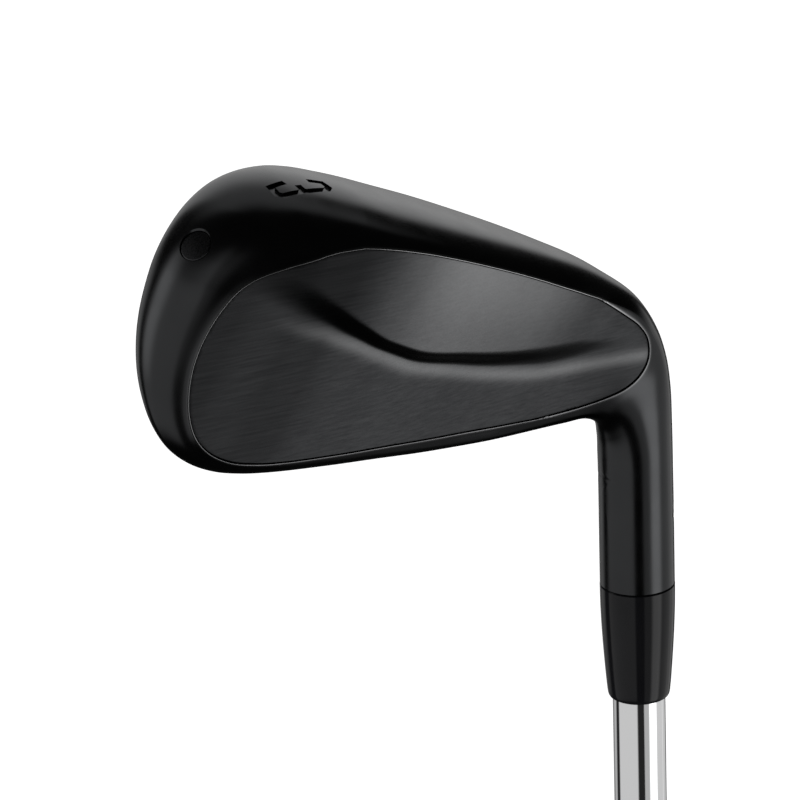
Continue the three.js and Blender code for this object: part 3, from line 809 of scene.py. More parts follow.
PATCH_SPACING = 0.5
PATCH_GAP = 0.3                   # least distance between a patch's own points and its edge
ROW_SLACK = 1e-9


def heel_patch(piece, ids, border):
    """The back between the hosel grid and the panel's heel arc; returns the arc's points."""
    rows = row_of(I_SAMPLES)
    between = (rows >= HEEL_LINE - ROW_SLACK) & (rows <= ARC_ROW + ROW_SLACK)
    sole, topline = np.split(np.flatnonzero(between), 2)
    arc_ids = piece.add(add_lip(raised(BORDER_ARC, free_depth(BORDER_ARC, front=False))))
    # along the heel line from the sole side to the topline side, out to the arc,
    # round it and back
    loop_ids = np.concatenate([
        ids[sole[0], border:], ids[topline[-1], border:-1][::-1],
        ids[topline[:-1][::-1], border], arc_ids, ids[sole[1:][::-1], border],
    ])
    loop = points_of(piece, loop_ids)[:, [0, 2]]
    rings = [outward(BORDER, d) for d in BORDER_STEPS[1:]]
    lattice = hex_points(loop, PATCH_SPACING)
    clear, _ = nearest_on_loop(lattice, BORDER)
    free = np.concatenate([*rings, lattice[clear > BORDER_STEPS[-1] + 0.35]])
    free = free[inside(free, loop)]
    room, _ = nearest_on_loop(free, loop)
    near_arc, _ = nearest_on_loop(free, BORDER)
    on_ring = (room > 0.02) & (np.abs(room - near_arc) < 1e-3)
    free = free[(room > PATCH_GAP) | on_ring]
    fresh = piece.add(add_lip(raised(free, free_depth(free, front=False))))
    numbers = np.concatenate([loop_ids, fresh])
    piece.faces.extend(numbers[triangulate([loop], free)].tolist())
    return arc_ids


def pocket_walls(piece, ring):
    """From the border ring down, over the ledge, through the cavity to the face pocket."""
    border = points_of(piece, ring)
    xz = border[:, [0, 2]]
    away = xz - PANEL_MIDDLE
    angles = np.arctan2(away[:, 1], away[:, 0])
    cavity = inset_loop(lambda r: np.maximum(r.inset + LEDGE, THINNEST_RIM), CAVITY_ROW, angles)
    face = inset_loop(lambda r: np.full(len(r.i), FACE_INSET), FACE_ROW, angles)
    for k in np.linspace(0, 1, 5):
        at = mix(xz, cavity, k)
        below = piece.add(raised(at, free_depth(at, front=False) + POCKET_DEPTH))
        piece.ring_strip(ring, below)
        ring = below
    for at, depth in ((cavity, FACE_POCKET), (face, FACE_POCKET), (face, FACE_CHAMFER)):
        below = piece.add(raised(at, free_depth(at, front=True) - depth))
        piece.ring_strip(ring, below)
        ring = below
    lip = outward(face, FACE_CHAMFER)
    top = piece.add(raised(lip, free_depth(lip, front=True)))
    piece.ring_strip(ring, top)
    return top


FRONT_SPACING = 0.9
FRONT_GAP = 0.45


def front_patch(piece, ids, face_ring):
    """The front of the body between its outer edge and the face plate's pocket."""
    wide = np.flatnonzero(row_of(I_SAMPLES) >= FACE_LINE - ROW_SLACK)
    edge = FRONT_STEPS - 1
    loop_ids = np.concatenate([
        ids[wide, edge], ids[wide[-1], 1:edge][::-1], ids[wide[0], :edge],
    ])
    loop = points_of(piece, loop_ids)[:, [0, 2]]
    hole = points_of(piece, face_ring)[:, [0, 2]]
    free = hex_points(loop, FRONT_SPACING)
    free = free[inside(free, loop) & ~inside(free, hole)]
    room = np.minimum(nearest_on_loop(free, loop)[0], nearest_on_loop(free, hole)[0])
    free = free[room > FRONT_GAP]
    fresh = piece.add(raised(free, free_depth(free, front=True)))
    numbers = np.concatenate([loop_ids, face_ring, fresh])
    piece.faces.extend(numbers[triangulate([loop, hole], free)].tolist())


HOSEL_CHAMFER = 0.12
BORE_CHAMFER = 0.2


def hosel_bore(piece, ids):
    """The flat hosel end and the bore behind it."""
    ring = np.concatenate([ids[0], ids[-1][::-1][1:-1]])
    outer = points_of(piece, ring)
    angle = np.arctan2(outer[:, 1], outer[:, 0])
    circle = np.stack([np.cos(angle), np.sin(angle)], 1)
    for radius, z in ((HOSEL_R - HOSEL_CHAMFER, 0), (BORE_R + BORE_CHAMFER, 0),
                      (BORE_R, BORE_CHAMFER), (BORE_R, BORE_DEPTH)):
        points = np.column_stack([circle * radius, np.full(len(ring), z)])
        inner = piece.add(points)
        piece.ring_strip(ring, inner)
        ring = inner
    piece.fan(ring, [0, 0, BORE_DEPTH])


PLUG_AT = Vector((-82.8, -13.3, 80.35))
PLUG_AXIS = Vector((-0.55, -0.43, 0.716)).normalized()
PLUG_R = 2.85
PLUG_SINK = 0.35
PLUG_DEPTH = 5.5
PLUG_SIDES = 96
PLUG_CLEAR = 3.0                  # how far the hole's cutter reaches out of the body


def turned_to(piece, name, at, axis, lift):
    """A lathed piece's mesh moved so that its Z lies along an axis."""
    turn = Vector((0, 0, 1)).rotation_difference(axis).to_matrix()
    points = np.concatenate(piece.points) @ np.array(turn).T + np.array(at)
    piece.points = [points]
    return piece.mesh(name, lift)


def plug_hole():
    """The hole's cutter: straight, with a chamfer that opens at the skin."""
    profile = [(0, -PLUG_DEPTH), (PLUG_R, -PLUG_DEPTH), (PLUG_R, -0.3), (PLUG_R + 0.32, 0.1),
               (PLUG_R + 0.9, PLUG_CLEAR), (0, PLUG_CLEAR)]
    return turned_to(lathe(profile, PLUG_SIDES), "hole", PLUG_AT, PLUG_AXIS, HOSEL_Z)


NUMBER_AT = Vector((-63.2, -10.1, 86.3))
NUMBER_OUT = Vector((0.19, -0.2, 0.96)).normalized()
NUMBER_UP = NUMBER_OUT.cross(Vector((0.951, 0.286, -0.113))).normalized()
NUMBER_ALONG = NUMBER_UP.cross(NUMBER_OUT)
NUMBER = {"depth": 0.4, "stroke": 1.3, "sole_radius": 33.0}
# centre lines of a figure 3 that lies with its open side to the face
NUMBER_LINES = [
    [(-1.3, 2.7), (-4.4, 2.25), (-4.5, -0.1), (-3.6, -0.85), (-0.3, -0.75), (0.6, -0.45),
     (1.5, -0.7), (5.6, -0.4), (6.5, 0.5), (6.3, 2.3), (3.6, 2.85)],
    [(0.6, -0.8), (0.6, 1.4)],
]


def stroke_outline(line, width):
    """A polyline widened to a closed outline with mitred corners."""
    p = np.array(line, float)
    along = np.diff(p, axis=0)
    along /= np.linalg.norm(along, axis=1)[:, None]
    side = np.stack([-along[:, 1], along[:, 0]], 1)
    before = np.vstack([side[:1], side])
    after = np.vstack([side, side[-1:]])
    mitre = before + after
    mitre /= (mitre * after).sum(1)[:, None]
    return np.concatenate([p + mitre * width / 2, (p - mitre * width / 2)[::-1]])


def number_cutter(line):
    """Cuts one stroke to an even depth below the round sole."""
    outline = stroke_outline(line, NUMBER["stroke"])
    triangles = triangulate([outline], np.zeros((0, 2)))
    piece = Piece()
    axes = (NUMBER_AT, NUMBER_ALONG, NUMBER_UP, NUMBER_OUT)
    origin, along, up, out = (np.array(v) for v in axes)
    flat = origin + outline[:, :1] * along + outline[:, 1:] * up
    sag = (outline**2).sum(1) / (2 * NUMBER["sole_radius"])
    low = piece.add(flat - (NUMBER["depth"] + sag)[:, None] * out)
    high = piece.add(flat + 2 * out)
    piece.ring_strip(low, high)
    piece.faces.extend(low[triangles].tolist())
    piece.faces.extend(high[triangles][:, ::-1].tolist())
    return piece.mesh("stroke", HOSEL_Z)


def head_body(material):
    piece = Piece()
    ids, border = outer_grid(piece)
    arc_ids = heel_patch(piece, ids, border)
    on_ribs = ids[row_of(I_SAMPLES) >= ARC_ROW][:, border]
    face_ring = pocket_walls(piece, np.concatenate([on_ribs, arc_ids]))
    front_patch(piece, ids, face_ring)
    hosel_bore(piece, ids)
    mesh = piece.mesh("head_body", HOSEL_Z)
    mesh = cut(mesh, plug_hole(), *(number_cutter(line) for line in NUMBER_LINES))
    store_edge_highlight(mesh)
    return place("head_body_fine", mesh, material, "satin_black_steel", "head_body")


# Painted highlight: the bright line on the body's edge round the back panel, given for each side of the
# panel.
EDGE_HIGHLIGHT = {"toe": 0.9, "sole": 1.0, "topline": 0.45, "heel": 0.35}
HIGHLIGHT_AT, HIGHLIGHT_WIDTH = 0.2, 0.17   # distance of the painted highlight from the border, and its half width
HIGHLIGHT_BELOW = 0.12                 # no painted highlight deeper than this under the border


def store_edge_highlight(mesh):
    """Marks the painted highlight on the body's edge round the panel: 0 to 1."""
    points = np.array([v.co for v in mesh.vertices]) / MM - [0, 0, HOSEL_Z]
    near = ((points > BORDER_3D.min(0) - 2) & (points < BORDER_3D.max(0) + 2)).all(1)
    distance, where = nearest_on_loop(points[near], BORDER_3D)
    highlight = np.zeros(len(points))
    highlight[near] = np.exp(-((distance - HIGHLIGHT_AT) / HIGHLIGHT_WIDTH) ** 2) * along_border(EDGE_HIGHLIGHT)[where]
    highlight[near] *= points[near, 1] < BORDER_3D[where, 1] + HIGHLIGHT_BELOW
    layer = mesh.attributes.new("painted_edge_highlight", "FLOAT", "POINT")
    layer.data.foreach_set("value", highlight)


# ---- back plate ----
SEAM = 0.07
PLATE_ROUND = np.array([0, 0.02, 0.05, 0.09, 0.14, 0.2])
PLATE_SINK = 0.04
PLATE_THICK = POCKET_DEPTH - 0.2
PLATE_SPACING = 0.45
UNDER_SPACING, UNDER_GAP = 1.5, 0.8


def back_plate(material):
    piece = Piece()
    rings = [outward(BORDER, -SEAM - d) for d in PLATE_ROUND]
    lattice = hex_points(BORDER, PLATE_SPACING)
    lattice = lattice[inside(lattice, BORDER)]
    room, _ = nearest_on_loop(lattice, BORDER)
    lattice = lattice[room > SEAM + PLATE_ROUND[-1] + 0.22]
    free = np.concatenate([*rings[1:], lattice])
    triangles = triangulate([rings[0]], free)
    points = np.concatenate([rings[0], free])
    gone = np.zeros(len(points))
    for k, distance in enumerate(PLATE_ROUND):
        gone[k * len(BORDER):(k + 1) * len(BORDER)] = 1 - distance / PLATE_ROUND[-1]
    roll = PLATE_ROUND[-1] * (1 - np.sqrt(1 - gone**2))
    depth = free_depth(points, front=False)
    top = piece.add(raised(points, depth + PLATE_SINK + roll))
    piece.faces.extend(top[triangles].tolist())
    ring = top[:len(BORDER)]
    coarse = hex_points(BORDER, UNDER_SPACING)
    coarse = coarse[inside(coarse, rings[0])]
    coarse = coarse[nearest_on_loop(coarse, BORDER)[0] > UNDER_GAP]
    under_points = np.concatenate([rings[0], coarse])
    under = piece.add(raised(under_points, free_depth(under_points, front=False) + PLATE_THICK))
    piece.ring_strip(ring, under[:len(BORDER)])
    piece.faces.extend(under[triangulate([rings[0]], coarse)].tolist())
    mesh = piece.mesh("back_plate", HOSEL_Z)
    store_painted_plate_light(mesh)
    return place("back_plate_fine", mesh, material, "brushed_black_steel", "back_plate")


def store_painted_plate_light(mesh):
    """Marks painted light on the back plate, 0 to 1: the thick part above the crease painted lighter,
    fading towards heel, toe and crease, and a painted highlight streak just below the crease.
    """
    points = np.array([v.co for v in mesh.vertices]) / MM - [0, 0, HOSEL_Z]
    t, u = to_tu(points[:, [0, 2]])
    start = crease_u(t)
    width = crease_width(t)
    # painted light: lighter on the thick part above the crease
    above = 1 - smooth(start + 0.3 * width, start + 1.2 * width, u)
    above *= (1 - smooth(36, 56, t)) * smooth(4, 32, t) * mix(1, 0.55, smooth(4, start, u))
    # painted highlight: a bright streak along the fillet below the crease
    foot = np.exp(-((u - start - 1.3 * width) / 1.3) ** 2) * smooth(70, 56, t)
    layer = mesh.attributes.new("painted_plate_light", "FLOAT", "POINT")
    layer.data.foreach_set("value", np.maximum(above, 0.8 * foot))


# ---- face plate ----
GROOVE = {"pitch": 3.7, "width": 0.8, "depth": 0.4, "count": 12, "first": 5.2, "toe": 66.0}
groove_heel = curve_through([[0, 21], [31, 21], [35, 24], [39, 31], [43, 40], [47, 50], [50, 56]])


GROOVE_PROUD = 0.3                # how far the cutter stands out of the face
GROOVE_SLOPE = 0.35               # lean of the groove's walls
SHORTEST_GROOVE = 6


def groove_tool(u, start, end):
    """A trapezoid bar that cuts one scoring line into the face."""
    proud, slope = GROOVE_PROUD, GROOVE_SLOPE
    half = GROOVE["width"] / 2
    section = [(-half - proud * slope, proud), (half + proud * slope, proud),
               (half - GROOVE["depth"] * slope, -GROOVE["depth"]),
               (-half + GROOVE["depth"] * slope, -GROOVE["depth"])]
    piece = Piece()
    rings = []
    for t in (start, end):
        points = []
        for along, out in section:
            up = u + along * cos(LOFT) + out * sin(LOFT)
            forward = face_depth(t, u) - along * sin(LOFT) + out * cos(LOFT)
            x, z = to_xz([t, up])
            points.append([x, forward, z])
        rings.append(piece.add(points))
    piece.ring_strip(*rings)
    piece.faces.append(rings[0].tolist())
    piece.faces.append(rings[1][::-1].tolist())
    return piece.mesh("groove", HOSEL_Z)


FACE_SIDES = 480
FACE_SEAM, FACE_BEVEL = 0.06, 0.1


def face_plate(material):
    angles = np.linspace(-pi, pi, FACE_SIDES, endpoint=False)
    pocket = inset_loop(lambda r: np.full(len(r.i), FACE_INSET), FACE_ROW, angles)
    outline = outward(pocket, -FACE_SEAM)
    step = outward(pocket, -FACE_SEAM - FACE_BEVEL)
    piece = Piece()
    no_points = np.zeros((0, 2))
    top = piece.add(raised(step, free_depth(step, front=True)))
    side = piece.add(raised(outline, free_depth(outline, front=True) - FACE_BEVEL))
    under = piece.add(raised(outline, free_depth(outline, front=True) - FACE_POCKET + 0.1))
    piece.faces.extend(top[triangulate([step], no_points)].tolist())
    piece.ring_strip(top, side)
    piece.ring_strip(side, under)
    piece.faces.extend(under[triangulate([outline], no_points)].tolist())
    tools = []
    for k in range(GROOVE["count"]):
        u = GROOVE["first"] + k * GROOVE["pitch"] * cos(LOFT)
        start = float(groove_heel(u + 1))
        if GROOVE["toe"] - start > SHORTEST_GROOVE:
            tools.append(groove_tool(u, start, GROOVE["toe"]))
    mesh = cut(piece.mesh("face_plate", HOSEL_Z), *tools)
    return place("face_plate_fine", mesh, material, "face_black_steel", "face_plate")


def toe_plug(material):
    r, foot = PLUG_R - 0.1, 0.3 - PLUG_DEPTH
    profile = [(0, foot), (r, foot), (r, -PLUG_SINK), (0, -PLUG_SINK)]
    plug = lathe(rounded(profile, 0.18), PLUG_SIDES)
    mesh = turned_to(plug, "toe_plug", PLUG_AT, PLUG_AXIS, HOSEL_Z)
    return place("toe_plug_fine", mesh, material, "plug_black_steel", "toe_plug")


# ---- ferrule, shaft, band and grip ----
ROUND = 128
SHAFT_TIP_R = 4.7
SHAFT_BUTT_R = SHAFT_HIGH[0]
SHAFT_WALL = 0.42
STEPS = {"count": 14, "from": 330, "to": 842, "half": 0.8}
FERRULE_LENGTH = FERRULE_TOP - FERRULE_Z + 0.15


def ferrule(material):
    bore = SHAFT_TIP_R + 0.12
    outer = curve_through([
        [-20.8, 5.58], [-18.9, 5.77], [-15, 6.07], [-11.3, 6.32], [-7, 6.54], [-3.6, 6.65],
        [-0.3, 6.69],
    ])
    body = [(float(outer(z)), z) for z in np.linspace(-20.8, -0.3, 34)]
    profile = [
        (bore, -FERRULE_LENGTH), (4.95, -FERRULE_LENGTH), (5.17, -21.75), (5.34, -21.62),
        (5.46, -21.4), (5.53, -21.1),
        *body, (6.53, -0.12), (bore, -0.12), (bore, -FERRULE_LENGTH),
    ]
    mesh = lathe(profile, ROUND).mesh("ferrule", HOSEL_Z)
    return place("ferrule_fine", mesh, material, "gloss_black_plastic", "ferrule")


def shaft(material):
    """The stepped steel tube, each step a soft shoulder."""
    outer = [(SHAFT_BUTT_R - 0.12, SHAFT_LOW[2]), (SHAFT_BUTT_R, SHAFT_LOW[2] + 0.12)]
    for k in range(STEPS["count"]):
        z = mix(STEPS["from"], STEPS["to"], k / (STEPS["count"] - 1))
        wide = mix(SHAFT_BUTT_R, SHAFT_TIP_R, k / STEPS["count"])
        narrow = mix(SHAFT_BUTT_R, SHAFT_TIP_R, (k + 1) / STEPS["count"])
        for f in np.linspace(0, 1, 7):
            drop = f * f * (3 - 2 * f)
            outer.append((mix(wide, narrow, drop), z + mix(-1, 1, f) * STEPS["half"]))
    outer.append((SHAFT_TIP_R, SHAFT_HIGH[2]))
    inner = [(outer[-1][0] - SHAFT_WALL, SHAFT_HIGH[2]), (outer[0][0] - SHAFT_WALL, SHAFT_LOW[2])]
    mesh = lathe([*outer, *inner, outer[0]], ROUND).mesh("shaft")
    return place("shaft_fine", mesh, material, "chromed_steel", "shaft")


def shaft_band(material):
    low, high = BAND_LOW[2], BAND_HIGH[2]
    outer, inner = BAND_HIGH[0], BAND_HIGH[0] - 0.12
    profile = [(inner, low), (outer, low), (outer, high), (inner, high), (inner, low)]
    mesh = lathe(rounded(profile, 0.05, 4), ROUND).mesh("shaft_band")
    return place("shaft_band_fine", mesh, material, "band_grey", "shaft_band")


GRIP = {"ring_pitch": 12, "ring_depth": 0.35, "ring_width": 0.5, "first_ring": 14.4,
        "knurl": 0.16, "knurl_count": 26, "knurl_pitch": 2.8}
GRIP_BORE_R = SHAFT_BUTT_R + 0.47
GRIP_CAP_THICK = SHAFT_LOW[2] - 0.2
VENT_R = 1.6
GRIP_SIDES = 144
GRIP_SPACING = 0.45
grip_radius = curve_through([
    [8, 12.95], [40, 12.55], [90, 11.9], [150, 11.0], [210, 10.1], [267, 9.3],
])


def grip_surface(angle, z):
    """Radius of the grip's outside: ring grooves with a diamond knurl between them."""
    ring = (z - GRIP["first_ring"] + GRIP["ring_pitch"] / 2) % GRIP["ring_pitch"]
    from_ring = abs(ring - GRIP["ring_pitch"] / 2)
    groove = np.exp(-(from_ring / GRIP["ring_width"]) ** 2) * GRIP["ring_depth"]
    field = smooth(1.0, 1.6, from_ring) * smooth(11, 13, z) * (1 - smooth(252, 256, z))
    turn = 2 * pi * z / GRIP["knurl_pitch"] / 2
    twist = GRIP["knurl_count"] * angle / 2
    diamond = np.abs(np.cos(twist + turn) * np.cos(twist - turn))
    in_rings = smooth(9, 12, z) * (1 - smooth(253, 257, z))
    return grip_radius(z) - groove * in_rings - GRIP["knurl"] * field * (1 - smooth(0.1, 0.5, diamond))


def grip(material):
    angle = np.linspace(0, 2 * pi, GRIP_SIDES, endpoint=False)
    cap = [(VENT_R, 0.25), (VENT_R + 0.25, 0), (10.6, 0), (11.6, 0.05), (12.3, 0.25), (12.85, 0.65),
           (13.2, 1.3), (13.38, 2.2), (GRIP_CAP_R, 3.2), (GRIP_CAP_R, 5.2), (13.3, 6.1), (13.1, 7.2),
           (12.98, 7.9)]
    mouth = [(9.42, 258.2), (9.62, 258.7), (9.68, 259.2), (9.68, 264.2), (9.6, 264.9), (9.4, 265.9),
             (9.1, 266.6), (8.75, GRIP_LENGTH), (GRIP_BORE_R + 0.1, GRIP_LENGTH),
             (GRIP_BORE_R, GRIP_LENGTH - 0.1), (GRIP_BORE_R, GRIP_CAP_THICK),
             (VENT_R, GRIP_CAP_THICK)]
    side = [(grip_surface(angle, z), z) for z in np.arange(8.4, 258, GRIP_SPACING)]
    piece = Piece()
    rings = []
    for radius, z in [*cap, *side, *mouth]:
        rings.append(piece.add(np.stack([
            radius * np.cos(angle), radius * np.sin(angle), np.full(GRIP_SIDES, z)], 1)))
    for a, b in zip(rings, rings[1:] + rings[:1]):
        piece.ring_strip(a, b)
    return place("grip_fine", piece.mesh("grip"), material, "black_rubber", "grip")


# ---- studio: floor and light ----
FLOOR_HALF = 12000.0


def stage_floor(material):
    piece = Piece()
    corner = FLOOR_HALF
    ids = piece.add([[-corner, -corner, 0], [corner, -corner, 0],
                     [corner, corner, 0], [-corner, corner, 0]])
    piece.faces.append(ids.tolist())
    mesh = piece.mesh("floor")
    mesh.materials.append(material)
    floor = bpy.data.objects.new("floor", mesh)
    bpy.context.scene.collection.objects.link(floor)
    floor.visible_glossy = False
    return floor


class Nodes:
    """Small helper that adds and joins shader nodes."""

    def __init__(self, tree):
        self.tree = tree

    def add(self, kind, **settings):
        node = self.tree.nodes.new(kind)
        for name, value in settings.items():
            setattr(node, name, value)
        return node

    def feed(self, socket, value):
        if isinstance(value, bpy.types.NodeSocket):
            self.tree.links.new(value, socket)
        else:
            socket.default_value = value

    def math(self, operation, *values):
        node = self.add("ShaderNodeMath", operation=operation)
        for socket, value in zip(node.inputs, values):
            self.feed(socket, value)
        return node.outputs[0]

    def step(self, value, low, high, start=0.0, end=1.0):
        """Smooth change from start at low to end at high."""
        node = self.add("ShaderNodeMapRange", interpolation_type="SMOOTHSTEP")
        for name, item in (("Value", value), ("From Min", low), ("From Max", high),
                           ("To Min", start), ("To Max", end)):
            self.feed(node.inputs[name], item)
        return node.outputs["Result"]

    def window(self, value, low, high, soft):
        """1 between low and high, falling to 0 over the soft widths outside."""
        rise = self.step(value, low - soft, low + soft)
        fall = self.step(value, high - soft, high + soft, 1.0, 0.0)
        return self.math("MULTIPLY", rise, fall)


# Each light: azimuth from and to, elevation from and to, softness of both, brightness.
# Azimuth 0 is towards -Y, 90 towards +X; elevation is above the horizon, in degrees.
LIGHTS = {
    "right_near": (0, 30, -46, -8, 5, 7, 0.42),
    "right_key": (27, 58, -46, -8, 7, 7, 2.1),
    "right_fill": (58, 100, -44, -2, 8, 8, 0.6),
    "right_far": (98, 130, -46, 0, 5, 8, 0.55),
    "right_low": (15, 88, -64, -50, 8, 6, 0.22),
    "backdrop": (140, 196, -2, 40, 4, 12, 0.95),
    "backdrop_low": (145, 192, -34, -4, 4, 6, 0.25),
    "backdrop_top": (105, 215, 44, 76, 14, 12, 0.45),
    "left_back": (196, 220, -28, 8, 5, 8, 0.5),
    "left_strip": (238, 268, -6, 36, 10, 12, 0.9),
    "left_wide": (241, 332, -42, 37, 4, 8, 0.58),
    "front_left": (330, 346, -8, 28, 6, 8, 0.24),
}
AMBIENT = 0.018


def studio_world():
    """Soft lights on a dark surround; the camera itself sees plain white."""
    world = bpy.data.worlds.new("studio")
    bpy.context.scene.world = world
    world.use_nodes = True
    n = Nodes(world.node_tree)
    direction = n.add("ShaderNodeSeparateXYZ")
    n.feed(direction.inputs[0], n.add("ShaderNodeTexCoord").outputs["Generated"])
    x, y, z = direction.outputs
    turn = n.math("ARCTAN2", x, n.math("MULTIPLY", y, -1.0))
    azimuth = n.math("MULTIPLY", turn, 180 / pi)
    azimuth = n.math("MODULO", n.math("ADD", azimuth, 360.0), 360.0)
    elevation = n.math("MULTIPLY", n.math("ARCSINE", z), 180 / pi)
    total = AMBIENT
    for start, end, low, high, soft_azimuth, soft_elevation, brightness in LIGHTS.values():
        across = n.window(azimuth, start, end, soft_azimuth)
        up = n.window(elevation, low, high, soft_elevation)
        light = n.math("MULTIPLY", n.math("MULTIPLY", across, up), brightness)
        total = n.math("ADD", total, light)
    seen = n.add("ShaderNodeLightPath").outputs["Is Camera Ray"]
    total = n.math("ADD", n.math("MULTIPLY", total, n.math("SUBTRACT", 1.0, seen)), seen)
    background = world.node_tree.nodes["Background"]
    n.feed(background.inputs["Strength"], total)
    background.inputs["Color"].default_value = (1, 1, 1, 1)


# ---- materials ----
class Material(Nodes):
    """A Principled material with noise, scratches and bump laid over it."""

    def __init__(self, name, metallic, **uniform):
        self.material = bpy.data.materials.new(name)
        self.material.use_nodes = True
        super().__init__(self.material.node_tree)
        self.shader = self.material.node_tree.nodes["Principled BSDF"]
        self.shader.inputs["Metallic"].default_value = metallic
        for key, value in uniform.items():
            self.shader.inputs[key.replace("_", " ")].default_value = value
        self.place = self.add("ShaderNodeTexCoord").outputs["Object"]

    def noise(self, scale, stretch=(1, 1, 1), turn=(0, 0, 0), detail=3.0):
        """Noise of a scale per metre, drawn out along the turned axes."""
        mapping = self.add("ShaderNodeMapping", vector_type="TEXTURE")
        self.feed(mapping.inputs["Vector"], self.place)
        mapping.inputs["Rotation"].default_value = turn
        mapping.inputs["Scale"].default_value = stretch
        texture = self.add("ShaderNodeTexNoise")
        self.feed(texture.inputs["Vector"], mapping.outputs[0])
        texture.inputs["Scale"].default_value = scale
        texture.inputs["Detail"].default_value = detail
        return texture.outputs["Fac"]

    def color(self, dark, light, factor):
        ramp = self.add("ShaderNodeMix", data_type="RGBA")
        self.feed(ramp.inputs["Factor"], factor)
        ramp.inputs["A"].default_value = (*dark, 1)
        ramp.inputs["B"].default_value = (*light, 1)
        self.feed(self.shader.inputs["Base Color"], ramp.outputs["Result"])

    def rough(self, low, high, factor):
        self.feed(self.shader.inputs["Roughness"], self.step(factor, 0.25, 0.75, low, high))

    def bump(self, *layers):
        """Layers of (height, distance in metres, strength), one over the other."""
        normal = None
        for height, distance, strength in layers:
            node = self.add("ShaderNodeBump")
            node.inputs["Distance"].default_value = distance
            node.inputs["Strength"].default_value = strength
            self.feed(node.inputs["Height"], height)
            if normal is not None:
                self.feed(node.inputs["Normal"], normal)
            normal = node.outputs[0]
        self.feed(self.shader.inputs["Normal"], normal)
        return self.material


def satin_black():
    m = Material("satin_black", 1.0)
    cloud = m.noise(60)
    grain = m.noise(9000, detail=1.0)
    highlight = m.add("ShaderNodeAttribute", attribute_name="painted_edge_highlight").outputs["Fac"]
    # The base colour is lifted towards light grey by the painted edge highlight.
    shade = m.math("ADD", highlight, m.math("MULTIPLY", cloud, 0.04))
    m.color((0.041, 0.042, 0.0435), (0.34, 0.34, 0.345), shade)
    m.rough(0.19, 0.24, m.noise(220))
    return m.bump((cloud, 0.0002, 0.02), (grain, 0.00001, 0.12))


BRUSH_TURN = (0, radians(-2), 0)
BRUSH_STRETCH = (14, 0.5, 0.35)


def brushed_black():
    """Long straight brushing, with painted light: lighter above the crease than below it, and a painted
    highlight streak under the crease.
    """
    m = Material("brushed_black", 1.0)
    lines = m.noise(5200, BRUSH_STRETCH, BRUSH_TURN, 4.0)
    wide = m.noise(900, BRUSH_STRETCH, BRUSH_TURN, 2.0)
    painted_plate_light = m.add("ShaderNodeAttribute", attribute_name="painted_plate_light").outputs["Fac"]
    # the painted plate light lifts the base colour
    shade = m.math("ADD", m.math("MULTIPLY", painted_plate_light, 0.8), m.math("MULTIPLY", wide, 0.2))
    m.color((0.0165, 0.017, 0.018), (0.122, 0.123, 0.125), shade)
    m.rough(0.27, 0.36, lines)
    return m.bump((lines, 0.00001, 0.35), (wide, 0.00002, 0.08))


def face_black():
    m = Material("face_black", 1.0)
    blast = m.noise(5200, detail=2.0)
    m.color((0.08, 0.081, 0.083), (0.105, 0.105, 0.107), m.noise(300))
    m.rough(0.36, 0.46, blast)
    return m.bump((blast, 0.00003, 0.5),)


def plug_black():
    m = Material("plug_black", 1.0)
    turned = m.noise(2600, detail=3.0)
    m.color((0.035, 0.036, 0.038), (0.05, 0.05, 0.052), m.noise(400))
    m.rough(0.24, 0.34, turned)
    return m.bump((turned, 0.00001, 0.25),)


def tungsten():
    m = Material("tungsten", 1.0)
    grain = m.noise(3000)
    m.color((0.22, 0.22, 0.23), (0.3, 0.3, 0.31), m.noise(150))
    m.rough(0.38, 0.5, grain)
    return m.bump((grain, 0.00003, 0.4),)


def chrome():
    m = Material("chrome", 1.0)
    polish = m.noise(700, (1, 1, 30), detail=2.0)
    m.color((0.86, 0.865, 0.87), (0.93, 0.93, 0.935), m.noise(40))
    m.rough(0.045, 0.075, polish)
    return m.bump((polish, 0.000004, 0.12),)


def brass():
    m = Material("brass", 1.0)
    grain = m.noise(2400)
    m.color((0.55, 0.36, 0.14), (0.66, 0.45, 0.19), m.noise(300))
    m.rough(0.28, 0.4, grain)
    return m.bump((grain, 0.00002, 0.25),)


def epoxy():
    m = Material("epoxy", 0.0, Coat_Weight=0.3)
    blob = m.noise(900)
    m.color((0.36, 0.22, 0.07), (0.5, 0.33, 0.12), blob)
    m.rough(0.25, 0.45, blob)
    return m.bump((blob, 0.00005, 0.3),)


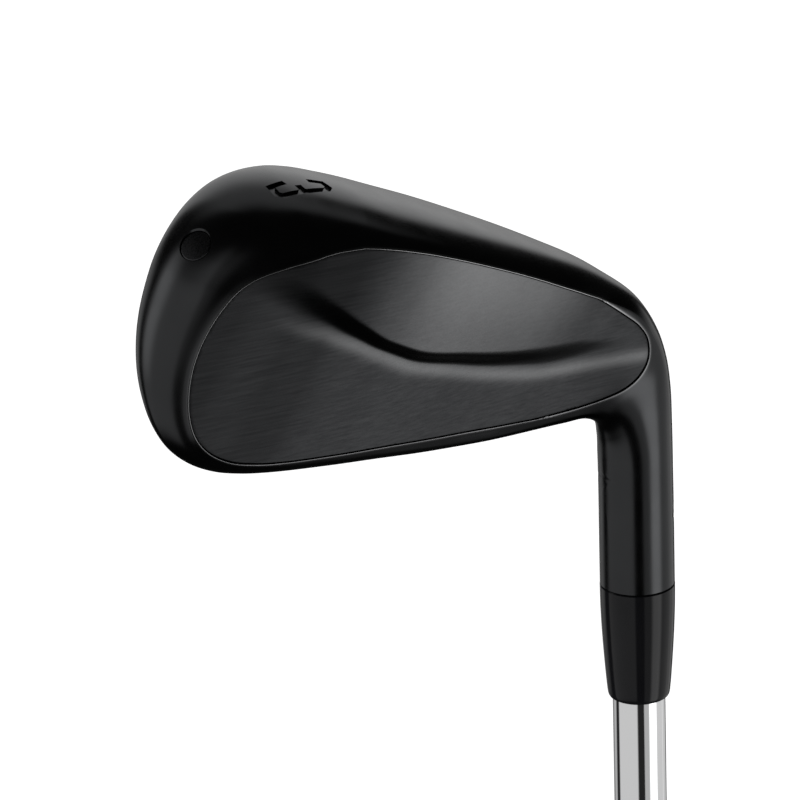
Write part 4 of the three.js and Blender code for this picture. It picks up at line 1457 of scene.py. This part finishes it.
def gloss_black():
    m = Material("gloss_black", 0.0, IOR=1.3)
    ripple = m.noise(350, (1, 1, 6), detail=2.0)
    m.color((0.004, 0.004, 0.005), (0.008, 0.008, 0.009), m.noise(120))
    m.rough(0.07, 0.13, ripple)
    return m.bump((ripple, 0.00003, 0.06),)


def tape():
    m = Material("tape", 0.0)
    crepe = m.noise(2200, (0.4, 0.4, 2.5))
    m.color((0.62, 0.58, 0.48), (0.76, 0.73, 0.64), crepe)
    m.rough(0.7, 0.85, crepe)
    return m.bump((crepe, 0.0001, 0.5),)


def rubber():
    m = Material("rubber", 0.0, Sheen_Weight=0.15, Sheen_Roughness=0.5)
    grain = m.noise(2600, detail=4.0)
    m.color((0.011, 0.011, 0.012), (0.026, 0.026, 0.027), m.noise(90))
    m.rough(0.5, 0.68, grain)
    return m.bump((grain, 0.00006, 0.35),)


def band():
    m = Material("band", 0.0, IOR=1.45)
    weave = m.noise(1500, (1, 1, 4))
    m.color((0.035, 0.038, 0.042), (0.055, 0.058, 0.062), weave)
    m.rough(0.25, 0.4, weave)
    return m.bump((weave, 0.00002, 0.2),)


def floor_white():
    m = Material("floor_white", 0.0)
    paper = m.noise(90, detail=4.0)
    m.color((0.83, 0.83, 0.83), (0.87, 0.87, 0.87), paper)
    m.rough(0.7, 0.85, paper)
    m.shader.inputs["Emission Color"].default_value = (1, 1, 1, 1)
    m.shader.inputs["Emission Strength"].default_value = 0.95
    return m.bump((paper, 0.0002, 0.1),)


def repaint(node, material):
    """Gives a CAD node that stays in the scene its finished material."""
    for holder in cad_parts[node].material_slots:
        holder.material = material


# ---- build ----
make_camera()
head_body(satin_black())
back_plate(brushed_black())
face_plate(face_black())
toe_plug(plug_black())
ferrule(gloss_black())
shaft(chrome())
shaft_band(band())
grip(rubber())
for hidden, finish in (("toe_weight", tungsten), ("tip_pin", brass),
                       ("hosel_bond", epoxy), ("grip_tape", tape)):
    repaint(hidden, finish())
stage_floor(floor_white())
studio_world()
bpy.context.scene.view_settings.view_transform = "Standard"
